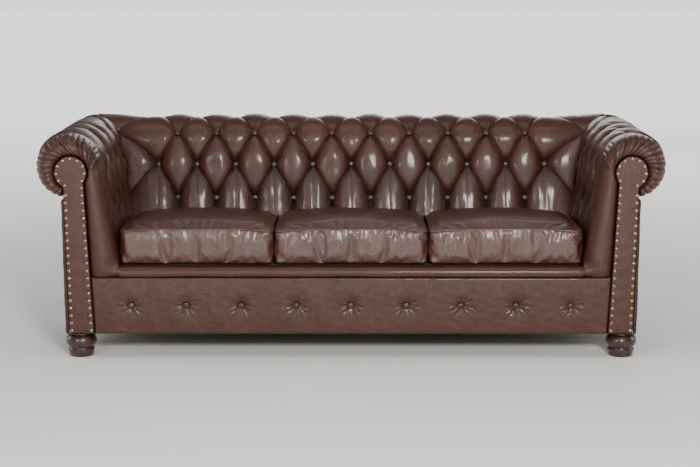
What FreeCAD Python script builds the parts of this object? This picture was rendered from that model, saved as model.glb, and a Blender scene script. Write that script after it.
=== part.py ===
import FreeCAD, Part
import Sketcher
import math
import os
import re

# Three-seat chesterfield sofa.
# Frame of the part: +X to the right as seen from the front, the front faces -Y, +Z up,
# origin on the floor at the centre of the sofa. "left" is the side at -X.

Vector = FreeCAD.Vector
document = FreeCAD.newDocument("ChesterfieldSofa")

# Driving dimensions, in millimetres and degrees.
driving_sizes = {
    # rolled arms and back
    "roll_radius": 103,
    "arm_axis_x": 907,
    "back_axis_y": 297,
    "roll_axis_z": 621,
    "lean_angle": 9.5,
    "face_foot_z": 292,
    "arm_roll_end_angle": -77.7,
    "back_roll_end_angle": -97,
    "former_radius": 60,
    # buttoned leather and what lies under it
    "leather": 4,
    "padding_gap": 1,
    "padding_depth": 42,
    "mitre_ease": 16,
    "button_radius": 11,
    "button_height": 6,
    "back_column_pitch": 68,
    "arm_column_pitch": 66,
    "arm_last_column_y": 104,
    "band_seam_y": -300,
    "row_step": 118,
    "lowest_row": 156,
    "face_button_depth": 31,
    "roll_button_depth": 19,
    # arm fronts
    "facing_front_y": -396.5,
    "board_front_y": -378,
    "board_thickness": 18,
    "facing_foot_z": 79,
    "facing_inner_foot_x": 828.5,
    "facing_inner_neck_x": 852.9,
    "facing_inner_neck_z": 571.7,
    "facing_outer_foot_x": 909.7,
    "facing_outer_neck_x": 920.8,
    "facing_outer_neck_z": 557.7,
    "head_centre_x": 895,
    "head_centre_z": 604,
    "head_radius": 53,
    "band_round_y": -345,
    "band_edge_y": -388,
    "band_padding": 38,
    "band_foot_z": 265,
    "nail_radius": 6,
    "nail_height": 3.5,
    "nail_shank_radius": 1,
    "nail_shank_length": 12,
    "nail_inset": 8,
    "nail_pitch": 24.5,
    # seat frame
    "rail_low_z": 83,
    "front_rail_top_z": 250,
    "rear_rail_top_z": 230,
    "side_rail_top_z": 225,
    "rail_thickness": 25,
    "front_rail_thickness": 28,
    "front_rail_half": 826,
    "rear_rail_y": 216,
    "side_rail_x": 887,
    "brace_x": 310,
    "brace_low_z": 90,
    "brace_height": 50,
    "block_top_z": 150,
    "block_front_y": -272,
    "block_rear_y": 120,
    "block_inner_front_x": 827,
    "block_inner_rear_x": 800,
    "post_top_z": 560,
    "arm_post_x": 883,
    "middle_post_y": -80,
    "rear_post_y": 190,
    "back_post_width": 50,
    "back_post_pitch": 510,
    "back_post_low_z": 100,
    "tack_low_z": 488,
    "tack_height": 27,
    "inner_rail_x": 784,
    "liner_thickness": 3,
    "liner_y": 130,
    "strap_width": 50,
    "strap_pitch": 62,
    "strap_half": 788,
    # springs and seat deck
    "spring_pitch": 134,
    "spring_wire_radius": 1.9,
    "spring_loop_radius": 11,
    "spring_leg": 28,
    "spring_first_y": -364,
    "spring_last_y": 229,
    "spring_lift": 3.5,
    "clip_length": 12,
    "clip_width": 16,
    "clip_height": 7,
    "deck_half": 736,
    "deck_front_y": -342,
    "deck_rear_y": 134,
    "felt_thickness": 3,
    "deck_foam_thickness": 35,
    "deck_leather": 3,
    # seat cushions
    "cushion_width": 499,
    "cushion_pitch": 499.6,
    "cushion_depth": 492,
    "cushion_height": 116,
    "cushion_crown": 20,
    "cushion_corner": 22,
    "cushion_draw": 4,
    "cushion_rim_inset": 2.5,
    "cushion_middle_y": -113.5,
    "cushion_rest_z": 291.6,
    "cushion_leather": 2.5,
    "piping_radius": 3,
    # outside panels
    "panel_foot_z": 78.5,
    "panel_top_z": 517.5,
    "panel_thickness": 5,
    "side_panel_foot_x": 923,
    "side_panel_top_x": 928,
    "rear_panel_foot_y": 248,
    "rear_panel_top_y": 285,
    "side_panel_front_y": -390,
    # front rail panel and lip
    "front_panel_half": 827.5,
    "front_panel_y": -391,
    "front_panel_top_z": 264,
    "front_panel_thickness": 8,
    "front_wadding_y": -382,
    "front_wadding_thickness": 3,
    "front_button_z": 171,
    "front_button_pitch": 177.5,
    "front_button_count": 9,
    "dimple_radius": 32,
    "dimple_depth": 6,
    "lip_half": 741,
    "lip_seam_z": 265,
    # feet
    "foot_x": 879,
    "foot_front_y": -350,
    "foot_rear_y": 200,
    "foot_height": 79,
    "foot_floor_radius": 38,
    "foot_base_radius": 43,
    "foot_neck_radius": 41,
    "foot_bun_radius": 50,
    "foot_collar_radius": 36,
    "plate_half": 27,
    "plate_thickness": 4,
    "bolt_radius": 4,
    "bolt_hole_radius": 4.2,
    "bolt_low_z": 39,
    "bolt_high_z": 118,
    "dust_cover_thickness": 1.5,
}

sheet = document.addObject("Spreadsheet::Sheet", "Size")
for row, (alias, value) in enumerate(driving_sizes.items(), start=1):
    sheet.set("A%d" % row, alias)
    sheet.set("B%d" % row, str(value))
    sheet.setAlias("B%d" % row, alias)
document.recompute()


def size(alias):
    """A driving dimension as the sheet holds it; a leading minus turns its sign."""
    if alias.startswith("-"):
        return -size(alias[1:])
    return float(sheet.get(alias))


def bound(formula):
    """A formula of aliases, written for the expression engine."""
    return re.sub(r"[a-z][a-z_]+", r"Size.\g<0>", formula)


def box(label, x, y, z):
    """A box between low and high formulas on each axis."""
    solid = document.addObject("Part::Box", label)
    for axis, side, (low, high) in zip("xyz", ("Length", "Width", "Height"), (x, y, z)):
        solid.setExpression("Placement.Base." + axis, bound(low))
        solid.setExpression(side, bound("(%s) - (%s)" % (high, low)))
    return solid


def upright_cylinder(label, radius, x, y, low, high):
    """A cylinder along Z, between two heights."""
    solid = document.addObject("Part::Cylinder", label)
    solid.setExpression("Radius", bound(radius))
    solid.setExpression("Height", bound("(%s) - (%s)" % (high, low)))
    for axis, formula in zip("xyz", (x, y, low)):
        solid.setExpression("Placement.Base." + axis, bound(formula))
    return solid


def group(label, members):
    """Separate solids that share one node."""
    compound = document.addObject("Part::Compound", label)
    compound.Links = members
    return compound


def cut(label, base, tool):
    """One object with another taken away."""
    result = document.addObject("Part::Cut", label)
    result.Base = base
    result.Tool = tool
    return result


def mirrored(label, source):
    """The same piece on the other side of the sofa."""
    mirror = document.addObject("Part::Mirroring", label)
    mirror.Source = source
    mirror.Normal = Vector(1, 0, 0)
    return mirror


def free_form(label, shape):
    """A piece whose shape is worked out below."""
    feature = document.addObject("Part::Feature", label)
    feature.Shape = shape
    feature.Placement = FreeCAD.Placement()
    return feature


# Sketched bodies.

def origin_plane(body, role):
    """One of a body's own origin planes."""
    return next(plane for plane in body.Origin.OriginFeatures if plane.Role == role)


def pin(sketch, kind, geometry, end, coordinate):
    """Hold one end of an edge at a number, or at a dimension of the sheet."""
    bound_to_sheet = isinstance(coordinate, str)
    value = size(coordinate) if bound_to_sheet else coordinate
    index = sketch.addConstraint(Sketcher.Constraint(kind, -1, 1, geometry, end, value))
    if bound_to_sheet:
        sketch.setExpression("Constraints[%d]" % index, coordinate.replace("-", "-Size.")
                             if coordinate.startswith("-") else "Size." + coordinate)


def outline(body, name, role, corners):
    """A closed outline in a sketch. A corner is (x, y), or (x, y, bulge) where the edge
    that follows it is an arc whose middle stands that far to the right of its chord."""
    sketch = body.newObject("Sketcher::SketchObject", name)
    sketch.AttachmentSupport = [(origin_plane(body, role), "")]
    sketch.MapMode = "FlatFace"
    places = []
    for corner in corners:
        numbers = [size(c) if isinstance(c, str) else c for c in corner[:2]]
        places.append(Vector(numbers[0], numbers[1], 0))
    ends = []
    for index, corner in enumerate(corners):
        start = places[index]
        end = places[(index + 1) % len(places)]
        bulge = corner[2] if len(corner) == 3 else 0
        if bulge:
            chord = end - start
            right = Vector(chord.y, -chord.x, 0).normalize()
            middle = (start + end) / 2 + right * bulge
            order = (start, middle, end) if bulge > 0 else (end, middle, start)
            sketch.addGeometry(Part.Arc(*order), False)
            sketch.addConstraint(Sketcher.Constraint(
                "Radius", index, sketch.Geometry[index].Radius))
        else:
            sketch.addGeometry(Part.LineSegment(start, end), False)
        ends.append((2, 1) if bulge < 0 else (1, 2))
        pin(sketch, "DistanceX", index, ends[index][0], corner[0])
        pin(sketch, "DistanceY", index, ends[index][0], corner[1])
    for index in range(len(places)):
        following = (index + 1) % len(places)
        sketch.addConstraint(Sketcher.Constraint(
            "Coincident", index, ends[index][1], following, ends[following][0]))
    document.recompute()
    return sketch


def pad(label, role, corners, length, symmetric=False, reverse=False):
    """A body that is one outline with a thickness."""
    body = document.addObject("PartDesign::Body", label)
    sketch = outline(body, label + "_outline", role, corners)
    feature = body.newObject("PartDesign::Pad", label + "_pad")
    feature.Profile = sketch
    feature.setExpression("Length", bound(length))
    feature.Midplane = symmetric
    feature.Reversed = reverse
    sketch.Visibility = False
    document.recompute()
    return body


def turned(label, corners):
    """A body turned about the Z axis from half its outline."""
    body = document.addObject("PartDesign::Body", label)
    sketch = outline(body, label + "_outline", "XZ_Plane", corners)
    feature = body.newObject("PartDesign::Revolution", label + "_turn")
    feature.Profile = sketch
    feature.ReferenceAxis = (sketch, ["V_Axis"])
    feature.Angle = 360
    document.recompute()
    return body


def place(body, x, y, z):
    """Bind where a body stands."""
    for axis, formula in zip("xyz", (x, y, z)):
        body.setExpression("Placement.Base." + axis, bound(formula))


# The envelope of a rolled arm or back, as a path that starts at the seat, climbs the
# leaning face and goes over the roll. "along" is the length of that path.

lean = math.radians(size("lean_angle"))
radius = size("roll_radius")
axis_z = size("roll_axis_z")
tangent_z = axis_z + radius * math.sin(lean)
tangent_out = -radius * math.cos(lean)
face_length = (tangent_z - size("face_foot_z")) / math.cos(lean)


def envelope(along, depth):
    """Distance outwards from the roll's axis, and height, at a depth under the envelope."""
    if along <= face_length:
        below = face_length - along
        out = tangent_out - below * math.sin(lean) + depth * math.cos(lean)
        height = tangent_z - below * math.cos(lean) - depth * math.sin(lean)
        return out, height
    turn = math.pi - lean - (along - face_length) / radius
    return (radius - depth) * math.cos(turn), axis_z + (radius - depth) * math.sin(turn)


def along_at(angle):
    """Path length at an angle round the roll, in degrees."""
    return face_length + radius * (math.pi - lean - math.radians(angle))


arm_path_end = along_at(size("arm_roll_end_angle"))
back_path_end = along_at(size("back_roll_end_angle"))

# Rows of buttons, and the levels where the leather behind them is divided.
lowest_row = size("lowest_row")
row_step = size("row_step")
row_3, row_2, row_1, row_0 = (lowest_row + row_step * number for number in range(4))
upper_level = 600
rear_level = 715


# Curved faces: each is the quartic patch through a five by five grid of points.

def control_points(through):
    """Control points of the quartic curve through five evenly timed points."""
    first, second, third, fourth, last = through
    return (
        first,
        (second * 48 - first * 13 - third * 36 + fourth * 16 - last * 3) / 12,
        (first * 13 - second * 64 + third * 120 - fourth * 64 + last * 13) / 18,
        (fourth * 48 - last * 13 - third * 36 + second * 16 - first * 3) / 12,
        last)


def patch(grid):
    """The face through rows of points."""
    rows = [control_points(line) for line in grid]
    columns = [control_points(line) for line in zip(*rows)]
    surface = Part.BezierSurface()
    surface.increase(len(rows[0]) - 1, 4)
    for column, line in enumerate(columns, start=1):
        for row, pole in enumerate(line, start=1):
            surface.setPole(row, column, pole)
    return surface.toShape()


def strip(first_edge, second_edge):
    """The ruled face between two edges given by five points each."""
    surface = Part.BezierSurface()
    surface.increase(4, 1)
    for column, line in enumerate((first_edge, second_edge), start=1):
        for row, pole in enumerate(control_points(line), start=1):
            surface.setPole(row, column, pole)
    return surface.toShape()


def facing_out(solid):
    """A solid whose faces look outwards."""
    if solid.Volume < 0:
        return Part.Solid(Part.Shell([face.reversed() for face in solid.Faces]))
    return solid


def closed_solid(faces):
    """Faces sewn into one solid."""
    shell = Part.Compound(faces)
    shell.sewShape()
    return facing_out(Part.Solid(Part.Shell(shell.Faces)))


quarters = [number / 4 for number in range(5)]


def cell_grid(cell, surface):
    """Points of a surface over a cell, from the cell's first corner round to its last."""
    return [[surface(cell, across, up) for across in quarters] for up in quarters]


def cell_edges(cell, grid):
    """A cell's four sides as the names of their ends and their points."""
    sides = (
        (cell[0], cell[1], grid[0]),
        (cell[1], cell[2], [line[-1] for line in grid]),
        (cell[3], cell[2], grid[-1]),
        (cell[0], cell[3], [line[0] for line in grid]))
    return {frozenset((start, end)): (start, points) for start, end, points in sides}


def between(cells, outer, inner):
    """The solid between an outer and an inner surface that share the same cells."""
    faces = []
    outer_edges = {}
    inner_edges = {}
    seen = {}
    for cell in cells:
        for surface, edges in ((outer, outer_edges), (inner, inner_edges)):
            grid = cell_grid(cell, surface)
            faces.append(patch(grid))
            edges.update(cell_edges(cell, grid))
        for name in cell_edges(cell, grid):
            seen[name] = seen.get(name, 0) + 1
    for name, count in seen.items():
        if count == 1:
            start, outside = outer_edges[name]
            inside_start, inside = inner_edges[name]
            faces.append(strip(outside, inside if inside_start == start else inside[::-1]))
    return closed_solid(faces)


# Deep buttoning. A cell's corner is (column, path length); odd columns carry the rows 1 and
# 3, even columns the rows 0 and 2. Leather is pulled down at each button, lies in a crease
# from button to button, and swells to the envelope in the middle of each cell.

crease_share = 0.4
pleat_depth = {0: 8, upper_level: 6, rear_level: 3.5}


class Tufting:
    """Buttoned leather of one arm or of the back."""

    def __init__(self, first_column, last_column, path_end, position, free_ends):
        self.first = first_column
        self.last = last_column
        self.path_end = path_end
        self.position = position
        self.free_ends = free_ends

    def rows_of(self, column):
        return (row_3, row_1) if column % 2 else (row_2, row_0)

    def buttons(self):
        """Every button that is inside the edges."""
        for column in range(self.first + 1, self.last):
            for along in self.rows_of(column):
                yield column, along

    def button_depth(self, along):
        return size("face_button_depth") if along < face_length else size("roll_button_depth")

    def corner_depth(self, corner):
        column, along = corner
        if along in self.rows_of(column):
            depth = self.button_depth(along)
            edge = column in (self.first, self.last)
            return depth * self.free_ends[column == self.last] if edge else depth
        if along == 0:
            return pleat_depth[0] if column % 2 else 0
        if along in pleat_depth and column % 2 == 0 and self.first < column < self.last:
            return pleat_depth[along]
        return 0

    def middle_depth(self, start, end):
        """Depth half way along the side of a cell."""
        depths = (self.corner_depth(start), self.corner_depth(end))
        if min(depths) == 0:
            return 0
        if start[0] == end[0]:
            return 0.6 * sum(depths) / 2
        return crease_share * sum(depths) / 2

    def side_depth(self, start, end, share):
        swell = math.sin(math.pi * share) ** 0.8
        straight = (1 - share) * self.corner_depth(start) + share * self.corner_depth(end)
        return (1 - swell) * straight + swell * self.middle_depth(start, end)

    def depth(self, cell, across, up):
        """Depth under the envelope, blended from the four sides."""
        low_left, low_right, high_right, high_left = cell
        low = self.side_depth(low_left, low_right, across)
        high = self.side_depth(high_left, high_right, across)
        left = self.side_depth(low_left, high_left, up)
        right = self.side_depth(low_right, high_right, up)
        corners = [self.corner_depth(corner) for corner in cell]
        bilinear = ((1 - across) * (1 - up) * corners[0] + across * (1 - up) * corners[1]
                    + across * up * corners[2] + (1 - across) * up * corners[3])
        blended = ((1 - up) * low + up * high + (1 - across) * left + across * right
                   - bilinear)
        swell = (math.sin(math.pi * across) * math.sin(math.pi * up)) ** 0.7
        return blended * (1 - swell)

    def cells(self):
        """Cells from the seat to the end of the leather."""
        found = []
        for left in range(self.first, self.last):
            right = left + 1
            low_left = self.rows_of(left)[0]
            low_right = self.rows_of(right)[0]
            high_left = self.rows_of(left)[1]
            high_right = self.rows_of(right)[1]
            found.append(((left, 0), (right, 0), (right, low_right), (left, low_left)))
            found.append(((left, high_left), (right, high_right), (right, upper_level),
                          (left, upper_level)))
            found.append(((left, upper_level), (right, upper_level), (right, rear_level),
                          (left, rear_level)))
            found.append(((left, rear_level), (right, rear_level), (right, self.path_end),
                          (left, self.path_end)))
        for column in range(self.first, self.last + 1):
            bottom, middle, top = (row_2, row_1, row_0) if column % 2 == 0 else (
                row_3, row_2, row_1)
            left = (column - 1, middle)
            right = (column + 1, middle)
            if column == self.first:
                left = (column, middle)
            if column == self.last:
                right = (column, middle)
            found.append(((column, bottom), right, (column, top), left))
        return found

    def surface(self, extra=None, fixed=None):
        """A surface that follows the buttoning at an extra depth, or lies at a fixed one."""
        def point(cell, across, up):
            weights = ((1 - across) * (1 - up), across * (1 - up), across * up,
                       (1 - across) * up)
            column = sum(weight * corner[0] for weight, corner in zip(weights, cell))
            along = sum(weight * corner[1] for weight, corner in zip(weights, cell))
            under = fixed if fixed is not None else self.depth(cell, across, up) + extra
            return self.position(column, along, under)
        return point

    def solid(self, extra, inner_extra=None, inner_fixed=None):
        return between(self.cells(), self.surface(extra),
                       self.surface(inner_extra, inner_fixed))


mitre_gap = 0.7


def mitre_edge(along, depth):
    """How far the leather reaches towards the corner, from the roll's axis: to the mitre on
    the inner half and to the axis on the outer half, with the bend between them eased."""
    out, height = envelope(along, depth)
    return (out - math.hypot(out, size("mitre_ease"))) / 2


def back_position(column, along, depth):
    """A point of the back; the columns stop at the mitre with each arm."""
    pitch = size("back_column_pitch")
    regular = 10
    edge = size("arm_axis_x") + mitre_edge(along, depth) - mitre_gap
    reach = abs(column)
    x = reach * pitch if reach <= regular else (
        regular * pitch + (reach - regular) * (edge - regular * pitch))
    out, height = envelope(along, depth)
    return Vector(math.copysign(x, column), size("back_axis_y") + out, height)


def arm_position(column, along, depth):
    """A point of the right arm; column 0 is the last whole one before the rear corner."""
    pitch = size("arm_column_pitch")
    last_y = size("arm_last_column_y")
    edge = size("back_axis_y") + mitre_edge(along, depth) - mitre_gap
    seam = size("band_seam_y") + mitre_gap
    if column > 1:
        y = last_y + (column - 1) * (edge - last_y)
    elif column >= -4:
        y = last_y + (column - 1) * pitch
    else:
        front_y = last_y - 5 * pitch
        y = front_y + (-4 - column) * (seam - front_y)
    out, height = envelope(along, depth)
    return Vector(size("arm_axis_x") + out, y, height)


back_tufting = Tufting(-11, 11, back_path_end, back_position, (0.75, 0.75))
arm_tufting = Tufting(-5, 2, arm_path_end, arm_position, (0.25, 0.75))


# A button's outline: shares of its radius and of its height, from the middle of its top.
button_line = ((0, 0), (0.42, 0.05), (0.76, 0.2), (1, 0.5), (0, 1))


def button_shape():
    """A covered button: low dome over a cone that sits in the dimple, top at the origin."""
    reach = size("button_radius")
    height = size("button_height")
    corners = [Vector(reach * out, 0, -height * down) for out, down in button_line]
    corners.append(corners[0])
    half = Part.Face(Part.makePolygon(corners))
    return half.revolve(corners[0], Vector(0, 0, 1), 360)


def buttons_of(tufting):
    """Buttons seated in the dimples, square to the envelope."""
    shapes = []
    sink = size("button_height") * 0.45
    for column, along in tufting.buttons():
        depth = tufting.button_depth(along)
        top = tufting.position(column, along, depth - size("button_height") + sink)
        outwards = top - tufting.position(column, along, depth + 10)
        button = button_shape()
        button.Placement = FreeCAD.Placement(
            top, FreeCAD.Rotation(Vector(0, 0, 1), outwards))
        shapes.append(button)
    return shapes


# Seat frame.

def seat_frame():
    rear_rail_back = "rear_rail_y + rail_thickness"
    board_back = "board_front_y + board_thickness"
    nodes = [
        box("front_seat_rail", ("-front_rail_half", "front_rail_half"),
            ("board_front_y", "board_front_y + front_rail_thickness"),
            ("rail_low_z", "front_rail_top_z")),
        box("rear_seat_rail", ("2 - side_rail_x", "side_rail_x - 2"),
            ("rear_rail_y", rear_rail_back), ("rail_low_z", "rear_rail_top_z"))]
    side = box("side_rail_right", ("side_rail_x", "side_rail_x + rail_thickness"),
               (board_back + " + 1", rear_rail_back), ("rail_low_z", "side_rail_top_z"))
    nodes.append(group("side_seat_rails", [side, mirrored("side_rail_left", side)]))
    brace = box("cross_brace_right",
                ("brace_x - rail_thickness / 2", "brace_x + rail_thickness / 2"),
                ("board_front_y + front_rail_thickness", "rear_rail_y"),
                ("brace_low_z", "brace_low_z + brace_height"))
    nodes.append(group("seat_cross_braces", [brace, mirrored("cross_brace_left", brace)]))
    blocks = []
    for place_name, inner, low_y, high_y, foot_y in (
            ("front", "block_inner_front_x", board_back + " + 0.5", "block_front_y",
             "foot_front_y"),
            ("rear", "block_inner_rear_x", "block_rear_y", "rear_rail_y - 0.5",
             "foot_rear_y")):
        blank = box("block_blank_" + place_name, (inner, "side_rail_x - 0.5"),
                    (low_y, high_y), ("rail_low_z", "block_top_z"))
        bore = upright_cylinder("block_bore_" + place_name, "bolt_hole_radius", "foot_x",
                                foot_y, "rail_low_z - 5", "block_top_z + 5")
        block = cut("corner_block_%s_right" % place_name, blank, bore)
        blocks += [block, mirrored("corner_block_%s_left" % place_name, block)]
    nodes.append(group("corner_blocks", blocks))
    return nodes


def arm_and_back_frame():
    nodes = []
    posts = []
    for place_name, low_y in (("middle", "middle_post_y"), ("rear", "rear_post_y")):
        post = box("arm_post_" + place_name, ("arm_post_x", "arm_post_x + rail_thickness"),
                   (low_y, low_y + " + rail_thickness"), ("side_rail_top_z", "post_top_z"))
        posts += [post, mirrored("arm_post_%s_left" % place_name, post)]
    nodes.append(group("arm_posts", posts))
    depth_front = size("padding_depth") + 4
    depth_rear = depth_front + size("rail_thickness")
    top_z = 575
    kick_z = size("rear_rail_top_z") + 60

    def face_y(height, depth):
        lowered = (tangent_z - height) * math.tan(lean)
        return size("back_axis_y") + tangent_out - lowered + depth / math.cos(lean)

    stand_y = size("rear_rail_y") - 0.5
    front_low = face_y(size("side_rail_top_z"), depth_front)
    corners = [
        (front_low, "back_post_low_z"), (stand_y, "back_post_low_z"), (stand_y, kick_z),
        (face_y(top_z, depth_rear), top_z), (face_y(top_z, depth_front), top_z),
        (front_low, "side_rail_top_z")]
    back_posts = []
    for number in range(4):
        body = pad("back_post_%d" % (number + 1), "YZ_Plane", corners, "back_post_width",
                   symmetric=True)
        place(body, "back_post_pitch * %s" % (number - 1.5), "0", "0")
        back_posts.append(body)
    nodes.append(group("back_posts", back_posts))

    former = document.addObject("Part::Cylinder", "back_roll_former")
    former.setExpression("Radius", bound("former_radius"))
    former.setExpression("Height", bound("2 * (arm_axis_x - former_radius - 2)"))
    former.Placement.Rotation = FreeCAD.Rotation(Vector(0, 1, 0), 90)
    place(former, "former_radius + 2 - arm_axis_x", "back_axis_y", "roll_axis_z")
    nodes.append(former)
    arm_former = document.addObject("Part::Cylinder", "arm_former_right")
    arm_former.setExpression("Radius", bound("former_radius"))
    arm_former.setExpression("Height", bound(
        "back_axis_y - board_front_y - board_thickness - 1"))
    arm_former.Placement.Rotation = FreeCAD.Rotation(Vector(1, 0, 0), 90)
    place(arm_former, "arm_axis_x", "back_axis_y", "roll_axis_z")
    nodes.append(group("arm_roll_formers", [
        arm_former, mirrored("arm_former_left", arm_former)]))

    tack = ("tack_low_z", "tack_low_z + tack_height")
    nodes.append(box("back_tack_rail", ("10 - arm_axis_x", "arm_axis_x - 10"),
                     ("rear_panel_top_y - 36", "rear_panel_top_y - 9"), tack))
    outer = box("outer_tack_rail", ("side_panel_top_x - 19", "side_panel_top_x - 7"),
                ("board_front_y + board_thickness + 1", "rear_rail_y + rail_thickness"), tack)
    inner = box("inner_arm_rail", ("inner_rail_x", "inner_rail_x + rail_thickness"),
                ("board_front_y + front_rail_thickness", "172"),
                ("side_rail_top_z + 1", "front_rail_top_z"))
    nodes.append(group("arm_rails", [outer, mirrored("outer_tack_rail_left", outer),
                                     inner, mirrored("inner_arm_rail_left", inner)]))

    near = size("padding_depth") + 2
    far = near + size("liner_thickness")

    def face_x(height, depth):
        lowered = (tangent_z - height) * math.tan(lean)
        return size("arm_axis_x") + tangent_out - lowered + depth / math.cos(lean)

    low_z = size("front_rail_top_z") + 0.5
    high_z = 592
    liner = pad("arm_liner_right", "XZ_Plane", [
        (face_x(low_z, near), low_z), (face_x(low_z, far), low_z),
        (face_x(high_z, far), high_z), (face_x(high_z, near), high_z)],
        "liner_y - board_front_y - board_thickness - 1")
    place(liner, "0", "liner_y", "0")
    nodes.append(group("arm_liners", [liner, mirrored("arm_liner_left", liner)]))

    straps = []
    for number in range(5):
        centre_z = size("face_foot_z") + 20 + number * size("strap_pitch")
        half = size("strap_width") / 2 * math.cos(lean)
        near = size("padding_depth") + 1.2
        far = near + 2
        strap = pad("back_strap_%d" % (number + 1), "YZ_Plane", [
            (face_y(centre_z - half, near), centre_z - half),
            (face_y(centre_z - half, far), centre_z - half),
            (face_y(centre_z + half, far), centre_z + half),
            (face_y(centre_z + half, near), centre_z + half)],
            "2 * strap_half", symmetric=True)
        straps.append(strap)
    nodes.append(group("back_webbing", straps))
    return nodes


# Springs and seat deck. Deck layers lie in a plane that falls towards the back.

deck_slope = ((size("front_rail_top_z") - size("rear_rail_top_z"))
              / (size("spring_last_y") - size("spring_first_y")))
deck_pitch = math.degrees(math.atan(deck_slope))


def deck_z(y, lift):
    """Height of the deck's plane, lifted square to the floor."""
    fallen = (y - size("spring_first_y")) * deck_slope
    return size("front_rail_top_z") + size("spring_lift") - fallen + lift


def spring_shape():
    """A zigzag spring in its own plane: straight legs joined by half turns."""
    loop = size("spring_loop_radius")
    leg = size("spring_leg") / 2
    length = size("spring_last_y") - size("spring_first_y")
    count = int((length - 20) / (2 * loop) / 2) * 2
    lead = (length - count * 2 * loop) / 2
    edges = []
    y = lead
    side = 1
    edges.append(Part.LineSegment(Vector(0, 0, 0), Vector(0, lead - loop, 0)))
    edges.append(Part.Arc(Vector(0, lead - loop, 0),
                          Vector(loop * (1 - math.sqrt(0.5)), lead - loop * (1 - math.sqrt(0.5)), 0),
                          Vector(loop, lead, 0)))
    edges.append(Part.LineSegment(Vector(loop, lead, 0), Vector(leg, lead, 0)))
    for number in range(count):
        edges.append(Part.Arc(Vector(side * leg, y, 0),
                              Vector(side * (leg + loop), y + loop, 0),
                              Vector(side * leg, y + 2 * loop, 0)))
        y += 2 * loop
        side = -side
        if number < count - 1:
            edges.append(Part.LineSegment(Vector(-side * leg, y, 0), Vector(side * leg, y, 0)))
    edges.append(Part.LineSegment(Vector(-side * leg, y, 0), Vector(-side * loop, y, 0)))
    corner = loop * (1 - math.sqrt(0.5))
    edges.append(Part.Arc(Vector(-side * loop, y, 0), Vector(-side * corner, y + corner, 0),
                          Vector(0, y + loop, 0)))
    edges.append(Part.LineSegment(Vector(0, y + loop, 0), Vector(0, length, 0)))
    path = Part.Wire([edge.toShape() for edge in edges])
    ring = Part.Wire(Part.Circle(Vector(0, 0, 0), Vector(0, -1, 0),
                                 size("spring_wire_radius")).toShape())
    wire = facing_out(path.makePipeShell([ring], True, False))
    print("spring: volume %.0f, section times length %.0f" % (
        wire.Volume, math.pi * size("spring_wire_radius") ** 2 * path.Length))
    return wire


def spring_xs():
    return [size("spring_pitch") * (number - 4.5) for number in range(10)]


def springs_and_deck():
    spring = spring_shape()
    springs = []
    clips = []
    tilt = FreeCAD.Rotation(Vector(1, 0, 0), -deck_pitch)
    first_y = size("spring_first_y")
    clip_size = [size("clip_width"), size("clip_length"), size("clip_height")]
    for x in spring_xs():
        copy = spring.copy()
        copy.Placement = FreeCAD.Placement(Vector(x, first_y, deck_z(first_y, 0)), tilt)
        springs.append(copy)
        for y, floor_z in ((first_y - 2, size("front_rail_top_z")),
                           (size("spring_last_y") + 2 - clip_size[1],
                            size("rear_rail_top_z"))):
            clip = Part.makeBox(*clip_size, Vector(x - clip_size[0] / 2, y, floor_z))
            slot_width = 2 * size("spring_wire_radius") + 0.8
            slot = Part.makeBox(slot_width, clip_size[1] + 2, clip_size[2] - 2,
                                Vector(x - slot_width / 2, y - 1, floor_z))
            clips.append(clip.cut(slot))
    nodes = [free_form("seat_springs", Part.Compound(springs)),
             free_form("spring_clips", Part.Compound(clips))]
    lift = size("spring_wire_radius") + 2.5
    for label, thickness in (("deck_felt", "felt_thickness"),
                             ("deck_foam", "deck_foam_thickness"),
                             ("deck_cover", "deck_leather")):
        high = lift + size(thickness)
        front = size("deck_front_y")
        rear = size("deck_rear_y")
        layer = pad(label, "YZ_Plane", [
            ("deck_front_y", deck_z(front, lift)), ("deck_rear_y", deck_z(rear, lift)),
            ("deck_rear_y", deck_z(rear, high)), ("deck_front_y", deck_z(front, high))],
            "2 * deck_half", symmetric=True)
        nodes.append(layer)
        lift = high + 0.5
    print("deck top at the front %.1f, at the back %.1f" % (
        deck_z(size("deck_front_y"), lift - 0.5), deck_z(size("deck_rear_y"), lift - 0.5)))
    return nodes


# Buttoned covers and their padding.

def rear_corner(label, outer, inner):
    """A quarter of a ball shell where the back roll turns into the arm roll."""
    parts = []
    for name, reach in (("skin", outer), ("hollow", inner)):
        ball = document.addObject("Part::Sphere", "%s_%s" % (label, name))
        ball.setExpression("Radius", bound(reach))
        ball.Angle1 = -80 if name == "skin" else -90
        ball.Angle2 = 90
        ball.Angle3 = 90
        place(ball, "arm_axis_x", "back_axis_y", "roll_axis_z")
        parts.append(ball)
    return cut(label, *parts)


def buttoned_covers():
    leather = size("leather")
    under = leather + size("padding_gap")
    fixed = size("padding_depth")
    nodes = [
        free_form("back_cover", back_tufting.solid(0, inner_extra=leather)),
        free_form("back_foam", back_tufting.solid(under, inner_fixed=fixed))]
    cover = free_form("right_arm_cover", arm_tufting.solid(0, inner_extra=leather))
    foam = free_form("arm_pad_right", arm_tufting.solid(under, inner_fixed=fixed))
    corner = rear_corner("right_rear_corner_cover", "roll_radius", "roll_radius - leather")
    corner_pad = rear_corner("corner_pad_right", "roll_radius - leather - padding_gap",
                             "roll_radius - padding_depth")
    foam_group = group("right_arm_foam", [foam, corner_pad])
    nodes += [cover, mirrored("left_arm_cover", cover), foam_group,
              mirrored("left_arm_foam", foam_group),
              corner, mirrored("left_rear_corner_cover", corner)]
    nodes.append(free_form("back_buttons", Part.Compound(buttons_of(back_tufting))))
    arm_buttons = free_form("arm_buttons_right", Part.Compound(buttons_of(arm_tufting)))
    nodes.append(group("arm_buttons", [arm_buttons,
                                       mirrored("arm_buttons_left", arm_buttons)]))
    return nodes


# Arm fronts.

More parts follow.
